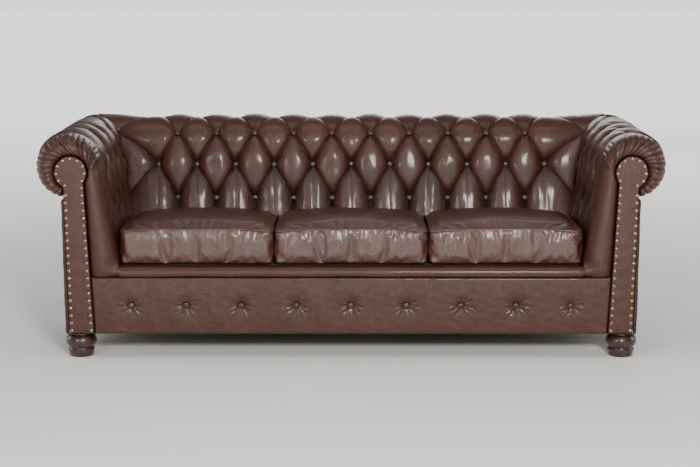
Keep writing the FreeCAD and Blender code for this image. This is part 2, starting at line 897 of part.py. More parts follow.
def keyhole(label, grow, thickness, low_z, front_y):
    """The outline of an arm front: a tapering trunk under a round head."""
    head_x = size("head_centre_x")
    head_z = size("head_centre_z")
    reach = size("head_radius") + grow
    inner = Vector(size("facing_inner_neck_x") - head_x, size("facing_inner_neck_z") - head_z)
    outer = Vector(size("facing_outer_neck_x") - head_x, size("facing_outer_neck_z") - head_z)
    start = math.atan2(outer.y, outer.x)
    turn = (math.atan2(inner.y, inner.x) - start) % (2 * math.pi)

    def head(share):
        angle = start + share * turn
        return (head_x + reach * math.cos(angle), head_z + reach * math.sin(angle))

    bulge = reach * (1 - math.cos(turn / 6))
    corners = [
        (size("facing_inner_foot_x") - grow, low_z),
        (size("facing_outer_foot_x") + grow, low_z),
        (*head(0), bulge), (*head(1 / 3), bulge), (*head(2 / 3), bulge), head(1)]
    body = pad(label, "XZ_Plane", corners, thickness)
    place(body, "0", front_y + " + " + thickness, "0")
    return body


def facing_edge(distance):
    """A point on the facing's outline: up the inner edge, then round the head."""
    foot = Vector(size("facing_inner_foot_x"), 0, size("facing_foot_z"))
    neck = Vector(size("facing_inner_neck_x"), 0, size("facing_inner_neck_z"))
    length = foot.distanceToPoint(neck)
    if distance <= length:
        return foot + (neck - foot) * (distance / length)
    centre = Vector(size("head_centre_x"), 0, size("head_centre_z"))
    reach = size("head_radius")
    start = math.atan2(neck.z - centre.z, neck.x - centre.x)
    angle = start - (distance - length) / reach
    return centre + Vector(math.cos(angle), 0, math.sin(angle)) * reach


def facing_lengths():
    """Lengths along the facing's outline: inner neck, and outer neck round the head."""
    foot = Vector(size("facing_inner_foot_x"), 0, size("facing_foot_z"))
    neck = Vector(size("facing_inner_neck_x"), 0, size("facing_inner_neck_z"))
    inner = Vector(neck.x - size("head_centre_x"), neck.z - size("head_centre_z"))
    outer = Vector(size("facing_outer_neck_x") - size("head_centre_x"),
                   size("facing_outer_neck_z") - size("head_centre_z"))
    turn = (math.atan2(inner.y, inner.x) - math.atan2(outer.y, outer.x)) % (2 * math.pi)
    trunk = foot.distanceToPoint(neck)
    return trunk, trunk + turn * size("head_radius")


trunk_length, outline_length = facing_lengths()
band_start = (size("band_foot_z") - size("face_foot_z")) / math.cos(lean)
scroll_start = face_length
pleat_count = 20
pleat_fold = 5


def facing_distance(along):
    """Where the band meets the facing, for a place along the arm's path."""
    low = size("band_foot_z") - size("facing_foot_z")
    at_scroll = trunk_length + math.radians(17) * size("head_radius")
    if along < scroll_start:
        share = (along - band_start) / (scroll_start - band_start)
        return low + share * (at_scroll - low)
    share = (along - scroll_start) / (arm_path_end - scroll_start)
    return at_scroll + share * (outline_length - at_scroll)


def band_levels():
    """Places along the path where the band is divided: smooth below, pleated above."""
    levels = [band_start, 80, 200, 300, scroll_start]
    step = (arm_path_end - scroll_start) / pleat_count
    return levels + [scroll_start + step * number for number in range(1, pleat_count + 1)]


def band_surface(inside):
    """The band from its seam with the buttoned cover, forwards and round to the facing."""
    padding = size("band_padding") if inside else 0
    seam_y = size("band_seam_y") - mitre_gap
    round_y = size("band_round_y")
    edge_y = size("board_front_y") - 1.5 if inside else size("band_edge_y")
    roundness = 0 if inside else 5

    def fold(cell, up):
        """Depth of the pleats, which start where the roll does."""
        folds = [0 if inside or corner[1] <= scroll_start else pleat_fold
                 for corner in (cell[0], cell[3])]
        straight = (1 - up) * folds[0] + up * folds[1]
        return straight * (1 - math.sin(math.pi * up) ** 0.7)

    def point(cell, across, up):
        weights = ((1 - across) * (1 - up), across * (1 - up), across * up, (1 - across) * up)
        part = sum(weight * corner[0] for weight, corner in zip(weights, cell))
        along = sum(weight * corner[1] for weight, corner in zip(weights, cell))
        if part <= 1:
            out, height = envelope(along, padding + fold(cell, up) * part)
            return Vector(size("arm_axis_x") + out, seam_y + part * (round_y - seam_y), height)
        turn = (part - 1) * math.pi / 2
        out, height = envelope(along, padding + fold(cell, up) * (2 - part))
        start = Vector(size("arm_axis_x") + out, 0, height)
        end = facing_edge(facing_distance(along))
        middle = start + (end - start) * (1 - math.cos(turn))
        swell = roundness * math.sin(2 * turn) ** 2 - 0.6 * fold(cell, up) * math.sin(2 * turn)
        middle.y = round_y + (edge_y - round_y) * math.sin(turn) - swell
        return middle
    return point


def arm_fronts():
    nodes = []
    facing = keyhole("right_facing_panel", -2.5, "board_front_y - facing_front_y",
                     "facing_foot_z", "facing_front_y")
    board = keyhole("arm_board_right", -4, "board_thickness", "rail_low_z", "board_front_y")
    levels = band_levels()
    cells = []
    for part in range(2):
        for low, high in zip(levels, levels[1:]):
            cells.append(((part, low), (part + 1, low), (part + 1, high), (part, high)))
    band = free_form("right_arm_front_band",
                     between(cells, band_surface(False), band_surface(True)))
    nails = free_form("right_nail_trim", Part.Compound(nail_shapes()))
    nodes += [facing, mirrored("left_facing_panel", facing),
              group("arm_front_boards", [board, mirrored("arm_board_left", board)]),
              band, mirrored("left_arm_front_band", band),
              nails, mirrored("left_nail_trim", nails)]
    return nodes


def nail_shapes():
    """Upholstery nails in a row round the facing, open at its foot."""
    inset = size("nail_inset")
    centre = Vector(size("head_centre_x"), 0, size("head_centre_z"))
    reach = size("head_radius") - inset
    low_z = size("facing_foot_z") + 12
    inner_low = Vector(size("facing_inner_foot_x") + inset + 3, 0, low_z)
    outer_low = Vector(size("facing_outer_foot_x") - inset, 0, low_z)
    inner_neck = Vector(size("facing_inner_neck_x") + inset, 0, size("facing_inner_neck_z") + 6)
    outer_neck = Vector(size("facing_outer_neck_x") - inset, 0, size("facing_outer_neck_z") - 6)
    start = math.atan2(inner_neck.z - centre.z, inner_neck.x - centre.x)
    end = math.atan2(outer_neck.z - centre.z, outer_neck.x - centre.x)
    turn = (start - end) % (2 * math.pi)
    sides = (inner_low.distanceToPoint(inner_neck), reach * turn,
             outer_neck.distanceToPoint(outer_low))
    total = sum(sides)
    count = round(total / size("nail_pitch"))
    shapes = []
    for number in range(count + 1):
        run = total * number / count
        if run <= sides[0]:
            spot = inner_low + (inner_neck - inner_low) * (run / sides[0])
        elif run <= sides[0] + sides[1]:
            angle = start - (run - sides[0]) / reach
            spot = centre + Vector(math.cos(angle), 0, math.sin(angle)) * reach
        else:
            spot = outer_neck + (outer_low - outer_neck) * (
                (run - sides[0] - sides[1]) / sides[2])
        spot.y = size("facing_front_y")
        shapes.append(nail_at(spot))
    print("nails on one facing:", len(shapes))
    return shapes


def nail_at(spot):
    """A domed head on the leather and a shank in the panel."""
    head_radius = size("nail_radius")
    height = size("nail_height")
    ball = (head_radius ** 2 + height ** 2) / (2 * height)
    rim = Vector(head_radius, 0, 0)
    dome = Part.Arc(Vector(0, 0, height), Vector(
        ball * math.sin(0.5 * math.asin(head_radius / ball)), 0,
        height - ball * (1 - math.cos(0.5 * math.asin(head_radius / ball)))), rim).toShape()
    shank = size("nail_shank_radius")
    tip = -size("nail_shank_length")
    corners = [rim, Vector(shank, 0, 0), Vector(shank, 0, tip), Vector(0, 0, tip),
               Vector(0, 0, height)]
    lines = [Part.LineSegment(a, b).toShape() for a, b in zip(corners, corners[1:])]
    nail = Part.Face(Part.Wire([dome] + lines)).revolve(Vector(), Vector(0, 0, 1), 360)
    nail.Placement = FreeCAD.Placement(spot, FreeCAD.Rotation(Vector(1, 0, 0), 90))
    return nail


# Front rail panel and the lip above it.

def front_edge():
    body = document.addObject("PartDesign::Body", "front_rail_cover")
    sketch = outline(body, "panel_outline", "XZ_Plane", [
        ("-front_panel_half", "panel_foot_z"), ("front_panel_half", "panel_foot_z"),
        ("front_panel_half", "front_panel_top_z"), ("-front_panel_half", "front_panel_top_z")])
    panel = body.newObject("PartDesign::Pad", "panel_pad")
    panel.Profile = sketch
    panel.setExpression("Length", bound("front_panel_thickness"))
    document.recompute()
    whole = panel.Shape.Volume
    reach = size("front_button_pitch") * (size("front_button_count") - 1) / 2
    dimple_sketch = body.newObject("Sketcher::SketchObject", "dimple_outline")
    dimple_sketch.AttachmentSupport = [(origin_plane(body, "XY_Plane"), "")]
    dimple_sketch.MapMode = "FlatFace"
    dimple_sketch.AttachmentOffset = FreeCAD.Placement(
        Vector(0, 0, size("front_button_z")), FreeCAD.Rotation())
    front = -size("front_panel_thickness")
    tip = Vector(-reach, front + size("dimple_depth"), 0)
    rim = Vector(-reach + size("dimple_radius"), front, 0)
    above = Vector(-reach, front, 0)
    for start, end in ((above, tip), (tip, rim), (rim, above)):
        dimple_sketch.addGeometry(Part.LineSegment(start, end), False)
    document.recompute()
    dimple = body.newObject("PartDesign::Groove", "dimple")
    dimple.Profile = dimple_sketch
    dimple.ReferenceAxis = (dimple_sketch, ["Edge1"])
    dimple.Angle = 360
    document.recompute()
    row = body.newObject("PartDesign::LinearPattern", "dimple_row")
    row.Originals = [dimple]
    row.Direction = (sketch, ["H_Axis"])
    row.Length = 2 * reach
    row.Occurrences = int(size("front_button_count"))
    body.Tip = row
    document.recompute()
    print("front panel: %.0f whole, %.0f dimpled" % (whole, body.Shape.Volume))
    place(body, "0", "front_panel_y + front_panel_thickness", "0")
    nodes = [body]
    nodes.append(box("front_rail_wadding", ("1 - front_rail_half", "front_rail_half - 1"),
                     ("front_wadding_y", "front_wadding_y + front_wadding_thickness"),
                     ("rail_low_z", "front_rail_top_z")))
    buttons = []
    for number in range(int(size("front_button_count"))):
        button = button_shape()
        sink = size("dimple_depth") - size("button_height") * 0.55
        button.Placement = FreeCAD.Placement(
            Vector(-reach + number * size("front_button_pitch"),
                   size("front_panel_y") + sink, size("front_button_z")),
            FreeCAD.Rotation(Vector(0, 0, 1), Vector(0, -1, 0)))
        buttons.append(button)
    nodes.append(free_form("front_rail_buttons", Part.Compound(buttons)))
    seam = size("lip_seam_z")
    clip_top = size("front_rail_top_z") + size("clip_height") + 1
    nodes.append(pad("seat_lip_cover", "YZ_Plane", [
        (-385, seam), (-385.5, seam + 9), (-385.5, seam + 18, -2), (-375, seam + 29),
        (-343.5, seam + 29), (-343.5, seam + 32), (-375, seam + 32, 4),
        (-388.5, seam + 19, 2), (-388, seam)],
        "2 * lip_half", symmetric=True))
    nodes.append(pad("seat_lip_foam", "YZ_Plane", [
        (-377.5, clip_top), (-344.5, clip_top), (-344.5, seam + 28),
        (-375, seam + 28, 2), (-384, seam + 18), (-384, seam), (-377.5, seam)],
        "2 * lip_half", symmetric=True))
    return nodes


# Outside panels and the cloth underneath.

def leaning_panel(label, foot, top):
    """A panel between a low and a high rectangle, each ((x, x), (y, y))."""
    panel = document.addObject("Part::Wedge", label)
    (foot_x, foot_y), (top_x, top_y) = foot, top
    for name, formula in (
            ("Xmin", foot_x[0]), ("Xmax", foot_x[1]), ("X2min", top_x[0]),
            ("X2max", top_x[1]), ("Ymin", "panel_foot_z"), ("Ymax", "panel_top_z"),
            ("Zmin", "-(%s)" % foot_y[1]), ("Zmax", "-(%s)" % foot_y[0]),
            ("Z2min", "-(%s)" % top_y[1]), ("Z2max", "-(%s)" % top_y[0])):
        panel.setExpression(name, bound(formula))
    panel.Placement.Rotation = FreeCAD.Rotation(Vector(1, 0, 0), 90)
    return panel


def outside_panels():
    thick = "panel_thickness"
    back = leaning_panel(
        "outside_back_cover",
        (("%s + 1 - side_panel_foot_x" % thick, "side_panel_foot_x - %s - 1" % thick),
         ("rear_panel_foot_y - " + thick, "rear_panel_foot_y")),
        (("%s + 1 - side_panel_top_x" % thick, "side_panel_top_x - %s - 1" % thick),
         ("rear_panel_top_y - " + thick, "rear_panel_top_y")))
    side = leaning_panel(
        "right_outside_arm_cover",
        (("side_panel_foot_x - " + thick, "side_panel_foot_x"),
         ("side_panel_front_y", "rear_panel_foot_y")),
        (("side_panel_top_x - " + thick, "side_panel_top_x"),
         ("side_panel_front_y", "rear_panel_top_y")))
    return [back, side, mirrored("left_outside_arm_cover", side)]


feet_places = [
    (name, x, y)
    for name, x, y in (
        ("front_left", "-foot_x", "foot_front_y"), ("front_right", "foot_x", "foot_front_y"),
        ("rear_left", "-foot_x", "foot_rear_y"), ("rear_right", "foot_x", "foot_rear_y"))]


def underside():
    sheet_blank = box("dust_cloth", ("-side_rail_x - 15", "side_rail_x + 15"),
                      ("board_front_y + 4", "rear_rail_y + rail_thickness - 3"),
                      ("rail_low_z - dust_cover_thickness - 0.5", "rail_low_z - 0.5"))
    notches = []
    for name, x, y in feet_places:
        reach = "(plate_half + 8)"
        notches.append(box("notch_" + name, ("%s - %s" % (x, reach), "%s + %s" % (x, reach)),
                           ("%s - %s" % (y, reach), "%s + %s" % (y, reach)),
                           ("rail_low_z - 10", "rail_low_z + 10")))
    nodes = [cut("dust_cover", sheet_blank, group("notches", notches))]
    plates = []
    bolts = []
    for name, x, y in feet_places:
        blank = box("plate_blank_" + name, (x + " - plate_half", x + " + plate_half"),
                    (y + " - plate_half", y + " + plate_half"),
                    ("foot_height", "foot_height + plate_thickness"))
        bore = upright_cylinder("plate_bore_" + name, "bolt_hole_radius", x, y,
                                "foot_height - 5", "foot_height + plate_thickness + 5")
        plates.append(cut("plate_" + name, blank, bore))
        bolts.append(upright_cylinder("bolt_" + name, "bolt_radius", x, y, "bolt_low_z",
                                      "bolt_high_z"))
    nodes += [group("foot_plates", plates), group("foot_bolts", bolts)]
    return nodes


def feet():
    nodes = []
    for name, x, y in feet_places:
        foot = turned("foot_" + name, [
            (0, 0), ("foot_floor_radius", 0), ("foot_base_radius", 24, 1.5),
            ("foot_neck_radius", 33, 11.5), ("foot_collar_radius", 72),
            ("foot_collar_radius", "foot_height"), ("bolt_hole_radius", "foot_height"),
            ("bolt_hole_radius", 38), (0, 38)])
        place(foot, x, y, "0")
        nodes.append(foot)
    return nodes


# Loose seat cushions: boxed, crowned on top, their sides drawn in between the corners.

def cushion_surface(shrink):
    """A point of the cushion from a place on a cube, each coordinate from -1 to 1."""
    half_x = size("cushion_width") / 2 - shrink
    half_y = size("cushion_depth") / 2 - shrink
    corner = size("cushion_corner") - shrink
    height = size("cushion_height") - 2 * shrink
    crown = size("cushion_crown")
    draw = size("cushion_draw")

    def plan(first, second):
        """Round the corners of the square and pull its sides in."""
        x = first * half_x
        y = second * half_y
        past_x = (abs(x) - (half_x - corner)) / corner
        past_y = (abs(y) - (half_y - corner)) / corner
        if past_x > 0 and past_y > 0:
            round_x = past_x * math.sqrt(1 - past_y ** 2 / 2)
            round_y = past_y * math.sqrt(1 - past_x ** 2 / 2)
            x = math.copysign(half_x - corner + corner * round_x, x)
            y = math.copysign(half_y - corner + corner * round_y, y)
        x -= first * draw * (1 - second ** 2)
        y -= second * draw * (1 - first ** 2)
        return x, y

    def point(first, second, third):
        x, y = plan(first, second)
        waist = draw * 0.8 * (1 - third ** 2)
        inset = size("cushion_rim_inset") * third ** 4
        x += first * (waist * (1 - second ** 2) - inset)
        y += second * (waist * (1 - first ** 2) - inset)
        flat = (1 - first ** 2) * (1 - second ** 2)
        z = shrink + height * (third + 1) / 2 + (crown * flat ** 0.8 if third > 0.999 else 0)
        return Vector(x, y, z)
    return point


def cushion_solid(shrink):
    """Top, bottom and boxing of a cushion, each cut at the corners' curves."""
    point = cushion_surface(shrink)
    half_x = size("cushion_width") / 2 - shrink
    half_y = size("cushion_depth") / 2 - shrink
    corner = size("cushion_corner") - shrink
    cuts_x = [-1, -1 + corner / half_x, 0, 1 - corner / half_x, 1]
    cuts_y = [-1, -1 + corner / half_y, 0, 1 - corner / half_y, 1]
    faces = []

    def span(low, high, share):
        return low + (high - low) * share

    for low_x, high_x in zip(cuts_x, cuts_x[1:]):
        for low_y, high_y in zip(cuts_y, cuts_y[1:]):
            for third in (-1, 1):
                faces.append(patch([[point(span(low_x, high_x, a), span(low_y, high_y, b),
                                           third) for a in quarters] for b in quarters]))
    for side in (-1, 1):
        for low, high in zip(cuts_x, cuts_x[1:]):
            faces.append(patch([[point(span(low, high, a), side, 2 * b - 1)
                                 for a in quarters] for b in quarters]))
        for low, high in zip(cuts_y, cuts_y[1:]):
            faces.append(patch([[point(side, span(low, high, a), 2 * b - 1)
                                 for a in quarters] for b in quarters]))
    return closed_solid(faces)


def piping_shape():
    """A welt cord round the top seam: four long arcs and four corner arcs."""
    draw = size("cushion_draw")
    radius_in = size("cushion_corner")
    half_x = size("cushion_width") / 2 - size("piping_radius") - 0.1
    half_y = size("cushion_depth") / 2 - size("piping_radius") - 0.1
    z = size("cushion_height")
    reach_x = half_x - radius_in
    reach_y = half_y - radius_in
    edges = []
    for turn, long_half, deep_half in ((0, reach_x, half_y), (90, reach_y, half_x),
                                       (180, reach_x, half_y), (270, reach_y, half_x)):
        rotation = FreeCAD.Rotation(Vector(0, 0, 1), turn)
        start = Vector(-long_half, -deep_half, z)
        end = Vector(long_half, -deep_half, z)
        middle = Vector(0, -deep_half + draw, z)
        side = Part.Arc(*[rotation.multVec(spot) for spot in (start, middle, end)])
        after = Vector(long_half + radius_in, -(deep_half - radius_in), z)
        half_turn = math.pi / 4 + 2 * math.atan(draw / long_half)
        chord = end.distanceToPoint(after)
        rise = chord / 2 * math.tan(half_turn / 2)
        around = (end + after) / 2 + Vector(1, -1, 0).normalize() * rise
        bend = Part.Arc(*[rotation.multVec(spot) for spot in (end, around, after)])
        edges += [side.toShape(), bend.toShape()]
    path = Part.Wire(edges)
    first = edges[0].valueAt(edges[0].FirstParameter)
    ring = Part.Wire(Part.Circle(first, edges[0].tangentAt(edges[0].FirstParameter),
                                 size("piping_radius")).toShape())
    cord = path.makePipeShell([ring], True, False)
    print("piping: volume %.0f, section times length %.0f" % (
        cord.Volume, math.pi * size("piping_radius") ** 2 * path.Length))
    return cord


def seat_cushions():
    """Three cushions, each a leather cover, a foam core and a piped seam."""
    leather = size("cushion_leather")
    outer = cushion_solid(0)
    hollow = cushion_solid(leather)
    core = cushion_solid(leather + 0.6)
    shapes = {"cover": outer.cut(hollow), "core": core, "piping": piping_shape()}
    nodes = []
    tilt = FreeCAD.Rotation(Vector(1, 0, 0), -deck_pitch)
    for number, name in enumerate(("left", "middle", "right")):
        for part, shape in shapes.items():
            node = document.addObject("Part::Feature", "%s_cushion_%s" % (name, part))
            node.Shape = shape
            node.Placement = FreeCAD.Placement(Vector(), tilt)
            place(node, "cushion_pitch * %d" % (number - 1), "cushion_middle_y",
                  "cushion_rest_z")
            nodes.append(node)
    return nodes


nodes = (seat_frame() + arm_and_back_frame() + springs_and_deck() + buttoned_covers()
         + arm_fronts() + front_edge() + outside_panels() + underside() + feet()
         + seat_cushions())
document.recompute()

failed = []
for thing in document.Objects:
    if "Invalid" in thing.State or "Error" in thing.State:
        failed.append("%s %s" % (thing.Label, thing.State))
for node in nodes:
    if node.Shape.isNull() or not node.Shape.isValid():
        failed.append(node.Label + " has no valid shape")
    elif not node.Shape.Solids or min(solid.Volume for solid in node.Shape.Solids) <= 0:
        failed.append(node.Label + " has no closed solid")
if failed:
    raise SystemExit("\n".join(failed))

os.makedirs("parts", exist_ok=True)
for node in nodes:
    node.Shape.exportStep("parts/%s.step" % node.Label)
print("nodes:", len(nodes))
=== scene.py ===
import math
import random
import bpy
import bmesh
import numpy as np
from mathutils import Matrix, Vector


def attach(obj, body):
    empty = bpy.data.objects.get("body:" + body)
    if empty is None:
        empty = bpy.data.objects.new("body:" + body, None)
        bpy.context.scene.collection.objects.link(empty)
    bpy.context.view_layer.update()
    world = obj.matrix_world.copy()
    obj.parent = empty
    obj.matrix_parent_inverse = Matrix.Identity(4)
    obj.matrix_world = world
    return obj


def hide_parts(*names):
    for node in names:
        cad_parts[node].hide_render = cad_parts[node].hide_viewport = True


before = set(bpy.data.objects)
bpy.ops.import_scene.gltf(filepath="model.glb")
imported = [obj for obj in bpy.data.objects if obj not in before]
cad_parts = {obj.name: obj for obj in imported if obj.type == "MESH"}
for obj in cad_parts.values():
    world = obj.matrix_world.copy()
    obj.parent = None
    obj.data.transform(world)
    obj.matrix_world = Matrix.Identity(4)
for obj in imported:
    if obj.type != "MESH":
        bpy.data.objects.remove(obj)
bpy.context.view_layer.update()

mm = 0.001    # sizes below are in millimetres, Blender works in metres


def limited(value):
    return np.clip(value, 0, 1)


def bell(distance, width):
    return np.exp(-(distance / width) ** 2)


def rollOff(edge, share=0.97):
    # how far a rounded edge falls away, from 0 inside to nearly 1 at its rim
    return 1 - np.sqrt(1 - share * edge ** 2)


def blend(corners, across, up):
    # a value inside a cell from those at its corners, round from the low left one
    shares = (1 - across) * (1 - up), across * (1 - up), across * up, (1 - across) * up
    return sum(share * corner for share, corner in zip(shares, corners))


def placed(name, data):
    thing = bpy.data.objects.new(name, data)
    bpy.context.scene.collection.objects.link(thing)
    return thing


def aimed(thing, place, aim):
    thing.location = place
    ahead = Vector(aim) - Vector(place)
    thing.rotation_euler = ahead.to_track_quat("-Z", "Y").to_euler()


# camera
view = {"place": (0.005, -5.924, 1.316), "aim": (-0.004, -0.05, 0.352), "lens": 90}


def makeCamera():
    camera = bpy.data.cameras.new("viewCamera")
    camera.lens = view["lens"]
    holder = placed("viewCamera", camera)
    aimed(holder, view["place"], view["aim"])
    bpy.context.scene.camera = holder


makeCamera()
print("camera set")


# shader maths
class Socket:
    def __init__(self, finish, output):
        self.finish = finish
        self.output = output

    def maths(self, operation, first, second):
        return self.finish.add("ShaderNodeMath", {"operation": operation}, {0: first, 1: second})

    def __add__(self, other):
        return self.maths("ADD", self, other)

    def __radd__(self, other):
        return self.maths("ADD", other, self)

    def __sub__(self, other):
        return self.maths("SUBTRACT", self, other)

    def __rsub__(self, other):
        return self.maths("SUBTRACT", other, self)

    def __mul__(self, other):
        return self.maths("MULTIPLY", self, other)

    def __rmul__(self, other):
        return self.maths("MULTIPLY", other, self)


class Finish:
    def __init__(self, name, settings):
        self.material = bpy.data.materials.new(name)
        self.material.use_nodes = True
        self.tree = self.material.node_tree
        self.shader = self.tree.nodes["Principled BSDF"]
        self.place = self.add("ShaderNodeTexCoord", {}, {}, "Object")
        for socket, value in settings.items():
            self.feed(self.shader.inputs[socket], value)

    def add(self, kind, settings, sockets, output=0):
        node = self.tree.nodes.new(kind)
        for name, value in settings.items():
            if name == "stops":
                marks = node.color_ramp.elements
                while len(marks) < len(value):
                    marks.new(0.5)
                for mark, (position, colour) in zip(marks, value):
                    mark.position = position
                    mark.color = (*colour, 1)
            else:
                setattr(node, name, value)
        for socket, value in sockets.items():
            self.feed(node.inputs[socket], value)
        return Socket(self, node.outputs[output])

    def feed(self, target, value):
        if isinstance(value, Socket):
            self.tree.links.new(value.output, target)
        else:
            target.default_value = value

    def noise(self, scale, detail=2.0, roughness=0.5, distortion=0.0, place=None):
        return self.add("ShaderNodeTexNoise", {}, {
            "Vector": place or self.place, "Scale": scale, "Detail": detail,
            "Roughness": roughness, "Distortion": distortion})

    def cells(self, scale, place=None):
        return self.add("ShaderNodeTexVoronoi", {"feature": "DISTANCE_TO_EDGE"}, {
            "Vector": place or self.place, "Scale": scale})

    def stretched(self, scale):
        return self.add("ShaderNodeMapping", {}, {"Vector": self.place, "Scale": scale})

    def between(self, share, low, high):
        return self.add("ShaderNodeMapRange", {"clamp": True}, {
            "Value": share, "From Min": low, "From Max": high})

    def mix(self, share, first, second):
        return self.add("ShaderNodeMix", {"data_type": "RGBA"}, {0: share, 6: first, 7: second}, 2)

    def bump(self, height, distance, strength=1.0, under=None):
        sockets = {"Height": height, "Distance": distance, "Strength": strength}
        if under:
            sockets["Normal"] = under
        return self.add("ShaderNodeBump", {}, sockets)

    def set(self, **values):
        for socket, value in values.items():
            self.feed(self.shader.inputs[socket.replace("_", " ")], value)
        return self.material


def colour(red, green, blue):
    # an sRGB colour, 0 to 255, as the shader wants it
    return tuple(((c / 255 + 0.055) / 1.055) ** 2.4 if c > 10 else c / 3295
                 for c in (red, green, blue)) + (1,)


# finishes
# hide and worn are the leather's own tones; shadeColour is a painted shade for its creases and
# hollows
leatherLook = {
    "hide": (57, 27, 17), "shadeColour": (13, 5, 3), "worn": (72, 38, 26),
    "grain": 620, "grainDepth": 0.0002, "wrinkle": 60, "wrinkleDepth": 0.0006,
    "roughness": 0.26}


def leatherFinish(name, lighter=1.0, wrinkles=1.0, gloss=0.0, shine=0.36):
    look = leatherLook
    finish = Finish(name, {"Coat Weight": 0.22, "Coat Roughness": 0.17,
                           "Specular IOR Level": shine})
    tuck = finish.add("ShaderNodeAttribute", {"attribute_name": "tuck"}, {}, "Fac")
    blotch = finish.noise(7, 5, 0.6, 0.4)
    fleck = finish.noise(42, 4, 0.62)
    hide = colour(*[min(c * lighter, 255) for c in look["hide"]])
    worn = colour(*[min(c * lighter, 255) for c in look["worn"]])
    shadeColour = colour(*look["shadeColour"])
    base = finish.mix(finish.between(0.7 * blotch + 0.6 * fleck, 0.5, 0.95), hide, worn)
    # painted shade: darkened towards shadeColour where the tuck attribute marks a crease, seam,
    # dimple or rolled edge
    shaded = finish.mix(finish.between(tuck, 0.08, 0.8), base, shadeColour)
    creaseCells = finish.cells(look["wrinkle"] * 1.7, finish.stretched((1, 1, 0.62)))
    creaseMask = 1 - finish.between(creaseCells, 0.0, 0.09)
    # painted shade in the fine wrinkle lines too, a little of shadeColour
    creaseShaded = finish.mix(creaseMask * 0.22, shaded, shadeColour)
    pores = 1 - finish.between(finish.cells(look["grain"]), 0.0, 0.28)
    wrinkle = finish.noise(look["wrinkle"], 5, 0.6, 1.1) - 0.5 * creaseMask
    large = finish.bump(wrinkle, look["wrinkleDepth"] * wrinkles, 1.0)
    fine = finish.bump(1 - pores, look["grainDepth"], 0.8, large)
    rough = look["roughness"] - gloss + 0.13 * finish.noise(24, 3) + 0.22 * tuck + 0.08 * pores
    return finish.set(Base_Color=creaseShaded, Roughness=rough, Normal=fine)


def woodFinish(name, light, dark, rings, gloss):
    finish = Finish(name, {"Coat Weight": gloss, "Coat Roughness": 0.08})
    along = finish.stretched((1, 1, 0.16))
    grain = finish.noise(rings, 7, 0.62, 0.6, along)
    streak = finish.add("ShaderNodeTexWave", {"wave_type": "BANDS", "bands_direction": "X"}, {
        "Vector": along, "Scale": rings * 0.1, "Distortion": 9.0, "Detail": 3.0})
    share = finish.between(0.6 * grain + 0.4 * streak, 0.22, 0.8)
    height = finish.bump(grain, 0.00025, 0.5)
    return finish.set(Base_Color=finish.mix(share, colour(*dark), colour(*light)),
                      Roughness=0.5 - 0.28 * gloss + 0.14 * grain, Normal=height)


def metalFinish(name, bright, dull, rough):
    finish = Finish(name, {"Metallic": 1.0})
    stain = finish.noise(260, 5, 0.66)
    share = finish.between(stain, 0.34, 0.72)
    return finish.set(Base_Color=finish.mix(share, colour(*dull), colour(*bright)),
                      Roughness=rough + 0.22 * (1 - share), Normal=finish.bump(stain, 0.0002, 0.4))


def clothFinish(name, light, dark, threads):
    finish = Finish(name, {"Sheen Weight": 0.08})
    warp, weft = [finish.add("ShaderNodeTexWave", {"wave_type": "BANDS", "bands_direction": way}, {
        "Vector": finish.place, "Scale": threads, "Distortion": 0.6}) for way in ("X", "Z")]
    weave = warp * weft
    share = finish.between(weave + 0.5 * finish.noise(threads * 0.4, 3), 0.15, 0.95)
    return finish.set(Base_Color=finish.mix(share, colour(*dark), colour(*light)),
                      Roughness=0.9 - 0.1 * weave, Normal=finish.bump(weave, 0.0004, 0.6))


finishes = {
    "leather": leatherFinish("antiqueLeather"),
    # the cushions' leather is painted a tenth lighter, a painted sheen standing for their grey
    # reflections
    "cushion_leather": leatherFinish("cushionLeather", 1.1, 1.25, 0.03, 0.7),
    "button_leather": leatherFinish("buttonLeather", 0.92, 0.3, 0.12),
    "foot_wood": woodFinish("mahoganyFoot", (58, 19, 11), (24, 7, 4), 90, 0.5),
    "nail_brass": metalFinish("antiqueBrass", (188, 164, 142), (96, 74, 58), 0.26),
    "frame_wood": woodFinish("beechFrame", (196, 160, 116), (150, 112, 74), 60, 0.0),
    # the cloth is dark, and painted darker still so the gap under the cushions reads as shadow:
    # partly its own colour, partly painted shade
    "lining_cloth": clothFinish("bottomCloth", (34, 32, 31), (14, 13, 13), 300),
    "webbing": clothFinish("juteWebbing", (176, 142, 96), (112, 84, 52), 160),
    "steel": metalFinish("springSteel", (172, 174, 176), (96, 96, 98), 0.3)}
print("finishes made")


